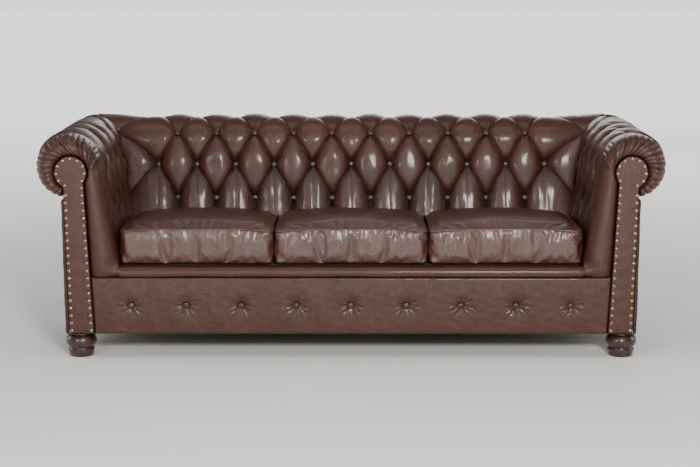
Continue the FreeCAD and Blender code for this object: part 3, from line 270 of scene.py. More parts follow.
# meshes from rows of points
class Skin:
    def __init__(self):
        self.points = []
        self.paintedShades = []
        self.faces = []
        self.count = 0

    def grid(self, points, tuck=None):
        # points is rows x columns x 3, in millimetres; the answer holds each point's number
        rows, columns = points.shape[:2]
        numbers = np.arange(rows * columns).reshape(rows, columns) + self.count
        self.count += rows * columns
        self.points.append(points.reshape(-1, 3))
        # each point's share of painted shade, none unless given
        self.paintedShades.append(np.zeros(rows * columns) if tuck is None else tuck.reshape(-1))
        corners = (numbers[:-1, :-1], numbers[:-1, 1:], numbers[1:, 1:], numbers[1:, :-1])
        self.faces += np.stack(corners, axis=-1).reshape(-1, 4).tolist()
        return numbers

    def wall(self, outside, inside):
        # joins two edges; the outside one may have several points for each one inside
        step = (len(outside) - 1) // (len(inside) - 1)
        for number in range(len(inside) - 1):
            face = list(outside[number * step:(number + 1) * step + 1])
            self.faces.append(face + [inside[number + 1], inside[number]])

    def slab(self, front, back, tuck=None):
        # a closed piece between a fine grid and a coarse one behind it
        outer = self.grid(front, tuck)
        inner = self.grid(back)
        for one, other in ((outer[0], inner[0]), (outer[-1], inner[-1]),
                           (outer[:, 0], inner[:, 0]), (outer[:, -1], inner[:, -1])):
            self.wall(one, other)

    def mirrored(self):
        other = Skin()
        other.points = [points * (-1, 1, 1) for points in self.points]
        other.paintedShades, other.faces, other.count = self.paintedShades, self.faces, self.count
        return other

    def mesh(self, name):
        mesh = bpy.data.meshes.new(name)
        mesh.from_pydata((np.concatenate(self.points) * mm).tolist(), [], self.faces)
        # the painted-shade shares go to the leather finish as an attribute
        attribute = mesh.attributes.new("tuck", "FLOAT", "POINT")
        attribute.data.foreach_set("value", np.concatenate(self.paintedShades).astype(np.float32))
        return tidied(mesh)


def tidied(mesh, reach=0.00004):
    shape = bmesh.new()
    shape.from_mesh(mesh)
    bmesh.ops.remove_doubles(shape, verts=shape.verts, dist=reach)
    bmesh.ops.dissolve_degenerate(shape, edges=shape.edges, dist=reach / 4)
    bmesh.ops.recalc_face_normals(shape, faces=shape.faces)
    shape.to_mesh(mesh)
    shape.free()
    mesh.shade_smooth()
    return mesh


def piece(name, mesh, slot, body="root", stands=()):
    mesh.materials.clear()
    mesh.materials.append(finishes[slot])
    thing = placed(name, mesh)
    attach(thing, body)
    if stands:
        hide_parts(*stands)
    return thing


def bothSides(name, skinOf, sources, solids):
    # the right piece as it is shaped, the left one mirrored
    for side, source in zip(("right", "left"), sources):
        skin = skinOf(source) if side == "right" else skinOf(source).mirrored()
        piece(side + name, skin.mesh(side + name), "leather",
              stands=[side + solid for solid in solids])


def ripple(points, wavelength, seed, count=7):
    # smooth irregular waves over space, from -1 to 1
    rng = np.random.default_rng(seed)
    total = np.zeros(points.shape[:-1])
    for number in range(count):
        way = rng.normal(size=3)
        way /= np.linalg.norm(way)
        length = wavelength * rng.uniform(0.7, 1.6)
        total += np.sin(points @ way * (2 * math.pi / length) + rng.uniform(0, 2 * math.pi))
    return total / math.sqrt(count)


# rolled arms and back, deep buttoned
roll = {
    "radius": 103, "armX": 907, "backY": 297, "axisZ": 621, "lean": 9.5, "footZ": 292,
    "armEnd": -77.7, "backEnd": -97, "padding": 42}
tufts = {
    "rows": (156, 274, 392, 510), "upperLevel": 600, "rearLevel": 715,
    "faceDepth": 32, "rollDepth": 22, "crease": 0.43, "pleat": {0: 8, 600: 6, 715: 3.5},
    # path lengths, pleat depths there, and how sharp the pleats are
    "seatPleat": ((0, 156), (9, 26), 0.5), "roofPleat": ((510, 600, 715, 830), (17, 11, 8, 2), 0.8),
    "puff": (2.22, 0.48, 0.66),    # scale of a puff's outline, and how steeply each end rises
    "puckers": ((6, 1), (9, 0.7), (13, 0.5)),    # folds round a button, and their strength
    "swell": 6.0, "pucker": 1.5, "puckerAway": 17, "puckerWidth": 13, "uneven": 2.2,
    "waves": ((0.7, 70), (0.35, 26)), "fine": 24, "coarse": 2,
    "backPitch": 68, "armPitch": 66, "armLastY": 104, "mitreEase": 16, "gap": 0.7}
bandPlan = {
    "seamY": -300, "roundY": -345, "crestY": -402, "backY": -366, "padding": 38,
    "footZ": 265, "pleats": 20, "fold": 4.4, "turn": 138, "lipTop": 292, "lipFade": 34,
    "wander": 0.22, "strengths": (0.45, 1.25),    # how unevenly the pleats stand
    "parts": 48, "levels": (60, 300), "coarser": 4, "wave": 48,
    # height and y of the lip's face, carried on across the band's foot
    "lipFront": ((265, -386), (267, -389), (276, -391), (286, -389.5), (294, -384),
                 (310, -376), (330, -366))}

lean = math.radians(roll["lean"])
radius = roll["radius"]
tangentZ = roll["axisZ"] + radius * math.sin(lean)
tangentOut = -radius * math.cos(lean)
faceLength = (tangentZ - roll["footZ"]) / math.cos(lean)


def envelope(along, depth):
    # distance outwards from the roll's axis, and height, at a depth under the leather's line
    below = faceLength - along
    turn = math.pi - lean - (along - faceLength) / radius
    out = np.where(below >= 0,
                   tangentOut - below * math.sin(lean) + depth * math.cos(lean),
                   (radius - depth) * np.cos(turn))
    height = np.where(below >= 0,
                      tangentZ - below * math.cos(lean) - depth * math.sin(lean),
                      roll["axisZ"] + (radius - depth) * np.sin(turn))
    return out, height


def alongAt(angle):
    return faceLength + radius * (math.pi - lean - math.radians(angle))


armPathEnd = alongAt(roll["armEnd"])
backPathEnd = alongAt(roll["backEnd"])
row3, row2, row1, row0 = tufts["rows"]


class Tufting:
    def __init__(self, first, last, pathEnd, pitch, position, freeEnds, seed):
        self.first, self.last, self.pathEnd, self.pitch = first, last, pathEnd, pitch
        self.position, self.freeEnds = position, freeEnds
        self.seed = seed
        self.chance = random.Random(seed)
        self.phases = {}
        self.rises = {}

    def rowsOf(self, column):
        return (row3, row1) if column % 2 else (row2, row0)

    def isButton(self, corner):
        column, along = corner
        return self.first < column < self.last and along in self.rowsOf(column)

    def buttonDepth(self, along):
        return tufts["faceDepth"] if along < faceLength else tufts["rollDepth"]

    def cornerDepth(self, corner):
        column, along = corner
        if along in self.rowsOf(column):
            edge = column in (self.first, self.last)
            return self.buttonDepth(along) * (self.freeEnds[column == self.last] if edge else 1)
        if along == 0:
            return tufts["pleat"][0] if column % 2 else 0
        if along in tufts["pleat"] and column % 2 == 0 and self.first < column < self.last:
            return tufts["pleat"][along]
        return 0

    def middleDepth(self, start, end):
        depths = (self.cornerDepth(start), self.cornerDepth(end))
        if min(depths) == 0:
            return 0
        return (0.6 if start[0] == end[0] else tufts["crease"]) * sum(depths) / 2

    def sideDepth(self, start, end, share):
        swell = limited(np.sin(math.pi * share)) ** 0.8
        straight = (1 - share) * self.cornerDepth(start) + share * self.cornerDepth(end)
        return (1 - swell) * straight + swell * self.middleDepth(start, end)

    def depth(self, cell, across, up, diamond):
        lowLeft, lowRight, highRight, highLeft = cell
        straight = blend([self.cornerDepth(corner) for corner in cell], across, up)
        blended = ((1 - up) * self.sideDepth(lowLeft, lowRight, across)
                   + up * self.sideDepth(highLeft, highRight, across)
                   + (1 - across) * self.sideDepth(lowLeft, highLeft, up)
                   + across * self.sideDepth(lowRight, highRight, up) - straight)
        hump = limited(np.sin(math.pi * across) * np.sin(math.pi * up))
        if diamond:    # a puff hangs a little over the crease below it
            scale, low, high = tufts["puff"]
            lift = [scale * side ** low * (1 - side) ** high for side in (across, up)]
            swell = limited(lift[0] * lift[1])
            return blended * (1 - swell) - self.rise(cell) * hump ** 0.8
        if lowLeft[0] == highLeft[0] and lowRight[0] == highRight[0]:
            return self.pleated(cell, across, up)
        return blended * (1 - hump ** 0.5) - self.rise(cell) * 0.5 * hump

    def rise(self, key):
        # how far a puff stands proud; parts of one puff share a key
        if key not in self.rises:
            self.rises[key] = tufts["swell"] + tufts["uneven"] * self.chance.uniform(-1, 1)
        return self.rises[key]

    def pleated(self, cell, across, up):
        # leather that hangs in upright pleats, below the lowest buttons or behind the top ones
        left, right = cell[0][0], cell[1][0]
        seat = cell[0][1] == 0 and cell[1][1] == 0
        pleatOnLeft = (left % 2 == 1) == seat
        share = across / 2 if pleatOnLeft else (1 - across) / 2
        fold = left if pleatOnLeft else right
        middle = right if pleatOnLeft else left
        along = blend([corner[1] for corner in cell], across, up)
        levels, depths, sharp = tufts["seatPleat" if seat else "roofPleat"]
        level = np.interp(along, levels, depths) * (self.first < fold < self.last)
        wave = limited(np.sin(math.pi * share))
        puff = self.rise((middle, seat)) * wave ** 0.8
        if seat:
            creaseShaded, clear = self.sideDepth(cell[3], cell[2], across), 1 - up
            puff = puff * limited(np.sin(math.pi * up)) ** 0.8
        elif cell[2][1] == tufts["upperLevel"]:
            creaseShaded, clear = self.sideDepth(cell[0], cell[1], across), up
            puff = puff * limited(np.sin(math.pi * up / 2)) ** 0.8
        else:
            creaseShaded, clear = 0, np.ones(up.shape)
            if cell[2][1] == self.pathEnd:
                puff = puff * limited(np.cos(math.pi * up / 2))
        clear = limited(np.sin(math.pi * clear / 2)) ** 0.45
        return creaseShaded * (1 - clear) + level * (1 - wave ** sharp) * clear - puff

    def pucker(self, cell, column, along):
        # short folds that run out from each button
        total = np.zeros(column.shape)
        for corner in cell:
            if self.isButton(corner):
                if corner not in self.phases:
                    self.phases[corner] = [self.chance.uniform(0, 6.28) for number in range(3)]
                phases = self.phases[corner]
                x = (column - corner[0]) * self.pitch
                y = along - corner[1]
                away = np.hypot(x, y)
                angle = np.arctan2(y, x)
                waves = sum(size * np.cos(count * angle + phase)
                            for (count, size), phase in zip(tufts["puckers"], phases))
                total += (waves * bell(away - tufts["puckerAway"], tufts["puckerWidth"])
                          * limited(away / 10))
        return total * tufts["pucker"]

    def cells(self):
        # each cell's corners, and whether it is a whole diamond
        found = []
        for left in range(self.first, self.last):
            right = left + 1
            low, high = [[self.rowsOf(column)[row] for column in (left, right)]
                         for row in (0, 1)]
            upper, rear, end = [(level, level) for level in (
                tufts["upperLevel"], tufts["rearLevel"], self.pathEnd)]
            for (a, b), (c, d) in (((0, 0), low), (high, upper), (upper, rear), (rear, end)):
                found.append((((left, a), (right, b), (right, d), (left, c)), False))
        for column in range(self.first, self.last + 1):
            bottom, middle, top = (row3, row2, row1) if column % 2 else (row2, row1, row0)
            left = (max(column - 1, self.first), middle)
            right = (min(column + 1, self.last), middle)
            found.append((((column, bottom), right, (column, top), left),
                          left[0] != column != right[0]))
        return found

    def patch(self, cell, diamond, parts, fixed=None):
        share = np.linspace(0, 1, parts + 1)
        if fixed is None:    # closer together near the creases
            share = share - 0.11 * np.sin(2 * math.pi * share)
        across, up = np.meshgrid(share, share)
        column, along = [blend(values, across, up) for values in zip(*cell)]
        if fixed is not None:
            return self.position(column, along, np.full(column.shape, float(fixed))), None
        depth = self.depth(cell, across, up, diamond) + self.pucker(cell, column, along)
        flat = self.position(column, along, np.zeros(column.shape))
        (high, length), (fineHigh, fineLength) = tufts["waves"]
        depth = (depth + high * ripple(flat, length, self.seed + 1)
                 + fineHigh * ripple(flat, fineLength, self.seed))
        # painted shade: the deeper the leather lies under its line, the darker it is painted
        tuck = limited(depth / tufts["faceDepth"])
        return self.position(column, along, depth), tuck

    def skin(self):
        skin = Skin()
        sides = {}
        for cell, diamond in self.cells():
            outer = skin.grid(*self.patch(cell, diamond, tufts["fine"]))
            inner = skin.grid(*self.patch(cell, diamond, tufts["coarse"], roll["padding"]))
            for names, pick in (((0, 1), np.s_[0]), ((1, 2), np.s_[:, -1]),
                                ((3, 2), np.s_[-1]), ((0, 3), np.s_[:, 0])):
                key = frozenset(cell[name] for name in names)
                sides.setdefault(key, []).append((outer[pick], inner[pick]))
        for key, found in sides.items():
            if len(found) == 1 and len(key) == 2:
                skin.wall(*found[0])
        return skin

    def buttons(self):
        # top of each button and the way it faces
        found = []
        for column in range(self.first + 1, self.last):
            for along in self.rowsOf(column):
                depth = self.buttonDepth(along)
                top, under = [self.position(np.array(float(column)), np.array(float(along)),
                                            np.array(float(level)))
                              for level in (depth - 9.0, depth + 10)]
                found.append((top, (top - under) / np.linalg.norm(top - under)))
        return found


def mitreEdge(out):
    return (out - np.hypot(out, tufts["mitreEase"])) / 2


def backPosition(column, along, depth):
    out, height = envelope(along, depth)
    pitch = tufts["backPitch"]
    edge = roll["armX"] + mitreEdge(out) - tufts["gap"]
    reach = np.abs(column)
    x = np.where(reach <= 10, reach * pitch, 10 * pitch + (reach - 10) * (edge - 10 * pitch))
    return np.stack([np.copysign(x, column), roll["backY"] + out, height], axis=-1)


def armPosition(column, along, depth):
    out, height = envelope(along, depth)
    pitch, lastY = tufts["armPitch"], tufts["armLastY"]
    edge = roll["backY"] + mitreEdge(out) - tufts["gap"]
    seam = bandPlan["seamY"] + tufts["gap"]
    frontY = lastY - 5 * pitch
    y = np.where(column > 1, lastY + (column - 1) * (edge - lastY),
                 np.where(column >= -4, lastY + (column - 1) * pitch,
                          frontY + (-4 - column) * (seam - frontY)))
    return np.stack([roll["armX"] + out, y, height], axis=-1)


backTufting = Tufting(-11, 11, backPathEnd, tufts["backPitch"], backPosition, (0.75, 0.75), 5)
rightTufting, leftTufting = [Tufting(-5, 2, armPathEnd, tufts["armPitch"], armPosition,
                                     (0.25, 0.75), seed) for seed in (11, 23)]

piece("backLeather", backTufting.skin().mesh("backLeather"), "leather",
      stands=("back_cover", "back_foam"))
print("back tufted")
bothSides("ArmLeather", Tufting.skin, (rightTufting, leftTufting),
          ("_arm_cover", "_arm_foam"))
print("arms tufted")


# rounded rear corners
cornerPlan = {"lowAngle": -80, "overlap": 0.05, "gathers": 11, "gatherDepth": 2.6,
              "thickness": 42, "rows": 84, "columns": 72, "coarser": 6, "proud": 1.2,
              "uneven": 0.7, "wave": 55}


def cornerSkin(seed):
    plan = cornerPlan

    def ball(rows, columns, inset):
        rise = np.radians(np.linspace(plan["lowAngle"], 90, rows + 1))
        turn = np.linspace(-plan["overlap"], math.pi / 2 + plan["overlap"], columns + 1)
        turn, rise = np.meshgrid(turn, rise)
        reach = np.full(turn.shape, float(radius - inset))
        tuck = np.zeros(turn.shape)
        if not inset:
            wave = np.abs(np.sin(turn * plan["gathers"])) ** 0.6
            low = limited(-rise / 1.25) ** 1.5 + 0.16 * limited(rise / 1.3) ** 3
            fold = (1 - wave) * low * plan["gatherDepth"]
            reach = reach + plan["proud"] - fold
            # painted shade in the gathers' folds
            tuck = limited(fold / 5)
        around = np.stack([np.cos(rise) * np.cos(turn), np.cos(rise) * np.sin(turn),
                           np.sin(rise)], axis=-1)
        points = around * reach[..., None] + (roll["armX"], roll["backY"], roll["axisZ"])
        if not inset:
            wave = ripple(points, plan["wave"], seed)[..., None]
            points = points + around * wave * plan["uneven"]
        return points, tuck

    outside, tuck = ball(plan["rows"], plan["columns"], 0)
    inside = ball(plan["rows"] // plan["coarser"], plan["columns"] // plan["coarser"],
                  plan["thickness"])[0]
    skin = Skin()
    skin.slab(outside, inside, tuck)
    return skin


bothSides("RearCorner", cornerSkin, (31, 37), ("_rear_corner_cover",))
print("rear corners made")


# arm fronts: smooth band, gathered scroll, keyhole facing
facing = {
    "frontY": -396.5, "backY": -378, "footZ": 79, "innerFootX": 828.5, "outerFootX": 909.7,
    "innerNeckX": 852.9, "innerNeckZ": 571.7, "outerNeckX": 920.8, "outerNeckZ": 557.7,
    "headX": 895, "headZ": 604, "headRadius": 53, "crown": 2.0, "edge": 3.5,
    "sideGap": 1.2, "frontGap": 0.3, "backGap": 0.2, "uneven": 0.35, "wave": 40,
    "trunkRows": 90, "headRows": 36, "columns": 24, "backColumns": 6}
headStart = math.atan2(facing["innerNeckZ"] - facing["headZ"],
                       facing["innerNeckX"] - facing["headX"])
headEnd = math.atan2(facing["outerNeckZ"] - facing["headZ"],
                     facing["outerNeckX"] - facing["headX"])
headTurn = (headStart - headEnd) % (2 * math.pi)
trunkLength = math.hypot(facing["innerNeckX"] - facing["innerFootX"],
                         facing["innerNeckZ"] - facing["footZ"])
outlineLength = trunkLength + headTurn * facing["headRadius"]
bandStart = (bandPlan["footZ"] - roll["footZ"]) / math.cos(lean)


def facingEdge(distance):
    # x and z on the facing's outline, up the inner edge and round the head
    share = distance / trunkLength
    angle = headStart - (distance - trunkLength) / facing["headRadius"]
    onTrunk = distance <= trunkLength
    x = np.where(onTrunk, facing["innerFootX"] + share * (
        facing["innerNeckX"] - facing["innerFootX"]),
        facing["headX"] + facing["headRadius"] * np.cos(angle))
    z = np.where(onTrunk, facing["footZ"] + share * (facing["innerNeckZ"] - facing["footZ"]),
                 facing["headZ"] + facing["headRadius"] * np.sin(angle))
    return x, z


def facingDistance(along):
    low = bandPlan["footZ"] - facing["footZ"]
    atScroll = trunkLength + math.radians(17) * facing["headRadius"]
    return np.where(along < faceLength,
                    low + (along - bandStart) / (faceLength - bandStart) * (atScroll - low),
                    atScroll + (along - faceLength) / (armPathEnd - faceLength)
                    * (outlineLength - atScroll))


def bandSkin(seed):
    rng = np.random.default_rng(seed)
    pleats = bandPlan["pleats"]
    wander = rng.uniform(-bandPlan["wander"], bandPlan["wander"], pleats - 1)
    marks = np.concatenate([[0], np.arange(1, pleats) + wander, [pleats]])
    strengths = rng.uniform(*bandPlan["strengths"], pleats + 1)

    def surface(parts, levels, inside):
        part = np.linspace(0, 2, parts + 1)
        along = np.concatenate([
            np.linspace(bandStart, faceLength, levels[0] + 1)[:-1],
            np.linspace(faceLength, armPathEnd, levels[1] + 1)])
        along, part = np.meshgrid(along, part, indexing="ij")
        phase = limited((along - faceLength) / (armPathEnd - faceLength)) * pleats
        nearest = np.abs(phase[..., None] - marks).argmin(-1)
        away = np.abs(phase - marks[nearest])
        onScroll = limited((along - faceLength + 30) / 40)
        valley = bell(away, 0.16) * 0.62 + bell(away, 0.34) * 0.38
        fold = 0 if inside else bandPlan["fold"] * strengths[nearest] * valley * onScroll
        reachOver = limited((part - 0.25) / 0.75) ** 1.3
        padding = bandPlan["padding"] if inside else 0
        seam = 0 if inside else 2.4 * bell(part, 0.06)
        seamY, roundY = bandPlan["seamY"] - tufts["gap"], bandPlan["roundY"]
        crestY = bandPlan["backY"] if inside else bandPlan["crestY"]
        wholeTurn = math.radians(90 if inside else bandPlan["turn"])
        front = limited(part - 1)
        turn = front * wholeTurn
        out, height = envelope(along, padding + seam + fold * reachOver * (1 - 0.55 * front))
        edgeX, edgeZ = facingEdge(facingDistance(along))
        share = (1 - np.cos(turn)) / (1 - math.cos(wholeTurn))
        x = roll["armX"] + out
        x = x + (edgeX - x) * share
        z = height + (edgeZ - height) * share
        pinch = fold * np.sin(turn) * 0.85
        y = np.where(part <= 1, seamY + part * (roundY - seamY),
                     roundY + (crestY - roundY) * np.sin(turn) + pinch)
        if not inside:
            lipY = np.interp(z, *zip(*bandPlan["lipFront"]))
            share = limited((bandPlan["lipTop"] + bandPlan["lipFade"] - z) / bandPlan["lipFade"])
            share = share * share * (3 - 2 * share) * limited((part - 0.75) * 5)
            share = share * limited((0.62 - front) / 0.42)
            atFoot = limited(1 - (z - bandPlan["footZ"]) / 26) ** 2
            y = y + (lipY - y) * share + 8 * np.sin(turn) * atFoot
        points = np.stack([x, y, z], axis=-1)
        if inside:
            return points, None
        points = points + ripple(points, bandPlan["wave"], seed)[..., None] * (0.35, 0.45, 0.35)
        # painted shade in the pleats' folds, in the crevice by the facing and along the seam
        return points, limited(0.5 * fold * reachOver / bandPlan["fold"]
                               + 0.5 * bell(2 - part, 0.06) + 0.45 * bell(part, 0.05))

    skin = Skin()
    coarser = bandPlan["coarser"]
    outside, tuck = surface(bandPlan["parts"], bandPlan["levels"], False)
    skin.slab(outside, surface(bandPlan["parts"] // coarser,
                               [level // coarser for level in bandPlan["levels"]], True)[0], tuck)
    return skin


def facingSkin(seed):
    # rows from the foot to the top of the head, each from the inner to the outer edge
    lowRows = np.linspace(0, 1, facing["trunkRows"] + 1)
    headRows = np.linspace(0, 1, facing["headRows"] + 1)[1:]
    head, reach = facing["headX"], facing["headRadius"]
    innerX = facing["innerFootX"] + lowRows * (facing["innerNeckX"] - facing["innerFootX"])
    innerZ = facing["footZ"] + lowRows * (facing["innerNeckZ"] - facing["footZ"])
    outerX = facing["outerFootX"] + lowRows * (facing["outerNeckX"] - facing["outerFootX"])
    outerZ = facing["footZ"] + lowRows * (facing["outerNeckZ"] - facing["footZ"])
    innerTurn = headStart - headRows * (headStart % (2 * math.pi) - math.pi / 2)
    outerTurn = headEnd + headRows * (math.pi / 2 - headEnd)
    innerX = np.append(innerX, head + reach * np.cos(innerTurn))
    innerZ = np.append(innerZ, facing["headZ"] + reach * np.sin(innerTurn))
    outerX = np.append(outerX, head + reach * np.cos(outerTurn))
    outerZ = np.append(outerZ, facing["headZ"] + reach * np.sin(outerTurn))

    def surface(columns, rows, inside):
        share = np.linspace(0, 1, columns + 1)
        if not inside:    # closer together near the edges
            share = share - 0.09 * np.sin(2 * math.pi * share)
        share = share[None, :]
        x = innerX[rows, None] * (1 - share) + outerX[rows, None] * share
        z = innerZ[rows, None] * (1 - share) + outerZ[rows, None] * share
        middle = (innerX[rows] + outerX[rows])[:, None] / 2
        width = (outerX[rows] - innerX[rows])[:, None]
        x = middle + (x - middle) * (1 - 2 * facing["sideGap"] / np.maximum(width, 6))
        if inside:
            y = np.full(x.shape, facing["backY"] - facing["backGap"])
            return np.stack([x, y, z], axis=-1), None
        away = np.minimum(share, 1 - share) * width
        toTop = np.maximum(facing["headZ"] + reach - z, 0)
        fromFoot = z - facing["footZ"]
        away = np.minimum(np.minimum(away, toTop), fromFoot)
        edge = limited(1 - away / facing["edge"])
        crown = facing["crown"] * limited(away / 30) ** 0.5
        y = (facing["frontY"] + facing["frontGap"] + facing["edge"] * rollOff(edge, 0.98)
             - crown)
        points = np.stack([x, y, z], axis=-1)
        points[..., 1] += facing["uneven"] * ripple(points, facing["wave"], seed)
        # painted shade where the facing rolls over at its edges
        return points, limited(edge * 1.1 - 0.2)

    rows = np.arange(len(innerX))
    skin = Skin()
    outside, tuck = surface(facing["columns"], rows, False)
    skin.slab(outside, surface(facing["backColumns"], rows[::3], True)[0], tuck)
    return skin


bothSides("ArmFrontBand", bandSkin, (41, 43), ("_arm_front_band",))
bothSides("Facing", facingSkin, (77, 77), ("_facing_panel",))
print("arm fronts made")


# geometry nodes for what repeats
class Recipe:
    def __init__(self, name, sizes):
        self.tree = bpy.data.node_groups.new(name, "GeometryNodeTree")
        face = self.tree.interface
        face.new_socket("Geometry", in_out="INPUT", socket_type="NodeSocketGeometry")
        self.names = {}
        for label, value in sizes.items():
            kind = "NodeSocketInt" if isinstance(value, int) else "NodeSocketFloat"
            socket = face.new_socket(label, in_out="INPUT", socket_type=kind)
            socket.default_value = value
            self.names[label] = socket.identifier
        face.new_socket("Geometry", in_out="OUTPUT", socket_type="NodeSocketGeometry")
        self.start = self.tree.nodes.new("NodeGroupInput")
        self.end = self.tree.nodes.new("NodeGroupOutput")

    def given(self, label):
        return self.start.outputs[label]

    def add(self, kind, settings=None, sockets=None):
        node = self.tree.nodes.new(kind)
        for name, value in (settings or {}).items():
            setattr(node, name, value)
        for name, value in (sockets or {}).items():
            if isinstance(value, bpy.types.NodeSocket):
                self.tree.links.new(value, node.inputs[name])
            else:
                node.inputs[name].default_value = value
        return node

    def finish(self, instances, finishName):
        real = self.add("GeometryNodeRealizeInstances", sockets={"Geometry": instances})
        smooth = self.add("GeometryNodeSetShadeSmooth", sockets={"Geometry": real.outputs[0]})
        painted = self.add("GeometryNodeSetMaterial", sockets={"Geometry": smooth.outputs[0]})
        painted.inputs["Material"].default_value = finishes[finishName]
        self.tree.links.new(painted.outputs[0], self.end.inputs[0])
        return self


def grown(recipe, source, sizes):
    # what the recipe makes from a mesh, as a plain mesh
    holder = placed("seed", source)
    modifier = holder.modifiers.new("recipe", "NODES")
    modifier.node_group = recipe.tree
    for label, value in sizes.items():
        modifier[recipe.names[label]] = value
    seen = holder.evaluated_get(bpy.context.evaluated_depsgraph_get())
    mesh = bpy.data.meshes.new_from_object(seen)
    holder.modifiers.clear()
    bpy.data.objects.remove(holder)
    return mesh


def pointMesh(places, ways):
    mesh = bpy.data.meshes.new("points")
    mesh.from_pydata([tuple(np.asarray(place) * mm) for place in places], [], [])
    attribute = mesh.attributes.new("outward", "FLOAT_VECTOR", "POINT")
    attribute.data.foreach_set("vector", np.asarray(ways, dtype=np.float32).reshape(-1))
    return mesh


def studRecipe(name, segments, rings, flatness, finishName):
    # a low dome on every point, turned to face outward, with a little unevenness
    recipe = Recipe(name, {"Radius": 0.01, "Tilt": 0.06, "Seed": 3})
    outward = recipe.add("GeometryNodeInputNamedAttribute", {"data_type": "FLOAT_VECTOR"},
                         {"Name": "outward"})
    turn = recipe.add("FunctionNodeAlignRotationToVector", {"axis": "Z"},
                      {"Vector": outward.outputs[0]})
    chance = recipe.add("FunctionNodeRandomValue", {"data_type": "FLOAT_VECTOR"}, {
        "Seed": recipe.given("Seed"), "Min": (-1, -1, -3), "Max": (1, 1, 3)})
    tilt = recipe.add("ShaderNodeVectorMath", {"operation": "SCALE"}, {
        "Vector": chance.outputs[0], "Scale": recipe.given("Tilt")})
    spin = recipe.add("FunctionNodeEulerToRotation", sockets={"Euler": tilt.outputs[0]})
    both = recipe.add("FunctionNodeRotateRotation", {"rotation_space": "LOCAL"}, {
        "Rotation": turn.outputs[0], "Rotate By": spin.outputs[0]})
    dome = recipe.add("GeometryNodeMeshUVSphere", sockets={
        "Segments": segments, "Rings": rings, "Radius": recipe.given("Radius")})
    flat = recipe.add("GeometryNodeTransform", sockets={
        "Geometry": dome.outputs[0], "Scale": (1, 1, flatness)})
    studs = recipe.add("GeometryNodeInstanceOnPoints", sockets={
        "Points": recipe.given("Geometry"), "Instance": flat.outputs[0],
        "Rotation": both.outputs[0]})
    return recipe.finish(studs.outputs[0], finishName)


# covered buttons
buttonPlan = {"radius": 11, "flatness": 0.42, "tilt": 0.09}
buttonRecipe = studRecipe("coveredButtons", 20, 12, buttonPlan["flatness"], "button_leather")


def buttonPiece(name, places, stands, seed):
    mesh = grown(buttonRecipe, pointMesh(*zip(*places)), {
        "Radius": buttonPlan["radius"] * mm, "Tilt": buttonPlan["tilt"], "Seed": seed})
    return piece(name, mesh, "button_leather", stands=stands)


def flipped(places):
    return [(top * (-1, 1, 1), way * (-1, 1, 1)) for top, way in places]


buttonPiece("backButtons", backTufting.buttons(), ("back_buttons",), 3)
buttonPiece("armButtons", rightTufting.buttons() + flipped(leftTufting.buttons()),
            ("arm_buttons",), 4)

# nails round the facings
nailPlan = {"radius": 6.7, "flatness": 0.6, "pitch": 24.5, "inset": 8, "seat": -396.8,
            "tilt": 0.05, "lowest": 12, "footInset": 3, "neckEase": 6}
nailRecipe = studRecipe("facingNails", 12, 8, nailPlan["flatness"], "nail_brass")


def nailPlaces():
    inset = nailPlan["inset"]
    reach = facing["headRadius"] - inset
    low, ease = facing["footZ"] + nailPlan["lowest"], nailPlan["neckEase"]
    innerLow = np.array([facing["innerFootX"] + inset + nailPlan["footInset"], low])
    outerLow = np.array([facing["outerFootX"] - inset, low])
    innerNeck = np.array([facing["innerNeckX"] + inset, facing["innerNeckZ"] + ease])
    outerNeck = np.array([facing["outerNeckX"] - inset, facing["outerNeckZ"] - ease])
    centre = np.array([facing["headX"], facing["headZ"]])
    start = math.atan2(*(innerNeck - centre)[::-1])
    end = math.atan2(*(outerNeck - centre)[::-1])
    turn = (start - end) % (2 * math.pi)
    sides = (np.linalg.norm(innerNeck - innerLow), reach * turn,
             np.linalg.norm(outerNeck - outerLow))
    count = round(sum(sides) / nailPlan["pitch"])
    found = []
    for number in range(count + 1):
        run = sum(sides) * number / count
        if run <= sides[0]:
            spot = innerLow + (innerNeck - innerLow) * (run / sides[0])
        elif run <= sides[0] + sides[1]:
            angle = start - (run - sides[0]) / reach
            spot = centre + np.array([math.cos(angle), math.sin(angle)]) * reach
        else:
            spot = outerNeck + (outerLow - outerNeck) * ((run - sides[0] - sides[1]) / sides[2])
        found.append((np.array([spot[0], nailPlan["seat"], spot[1]]), np.array([0, -1.0, 0])))
    return found


for side, places in (("right", nailPlaces()), ("left", flipped(nailPlaces()))):
    mesh = grown(nailRecipe, pointMesh(*zip(*places)), {
        "Radius": nailPlan["radius"] * mm, "Tilt": nailPlan["tilt"], "Seed": len(side)})
    piece(side + "Nails", mesh, "nail_brass", stands=(side + "_nail_trim",))
print("buttons and nails set")


# front rail panel and the lip under the cushions
frontPlan = {
    "y": -391, "back": -379.3, "lowZ": 78.5, "topZ": 264, "buttonZ": 171, "buttonIn": 2.6,
    "pitch": 177.5, "count": 9, "dimple": 11.5, "star": 4.8, "folds": 9, "foldTurn": 0.62,
    "swell": 3.0, "edgeWidth": 6, "edgeDepth": 5.5, "columns": 480, "rows": 60, "seed": 9}
frontButtonXs = [(number - (frontPlan["count"] - 1) / 2) * frontPlan["pitch"]
                 for number in range(frontPlan["count"])]


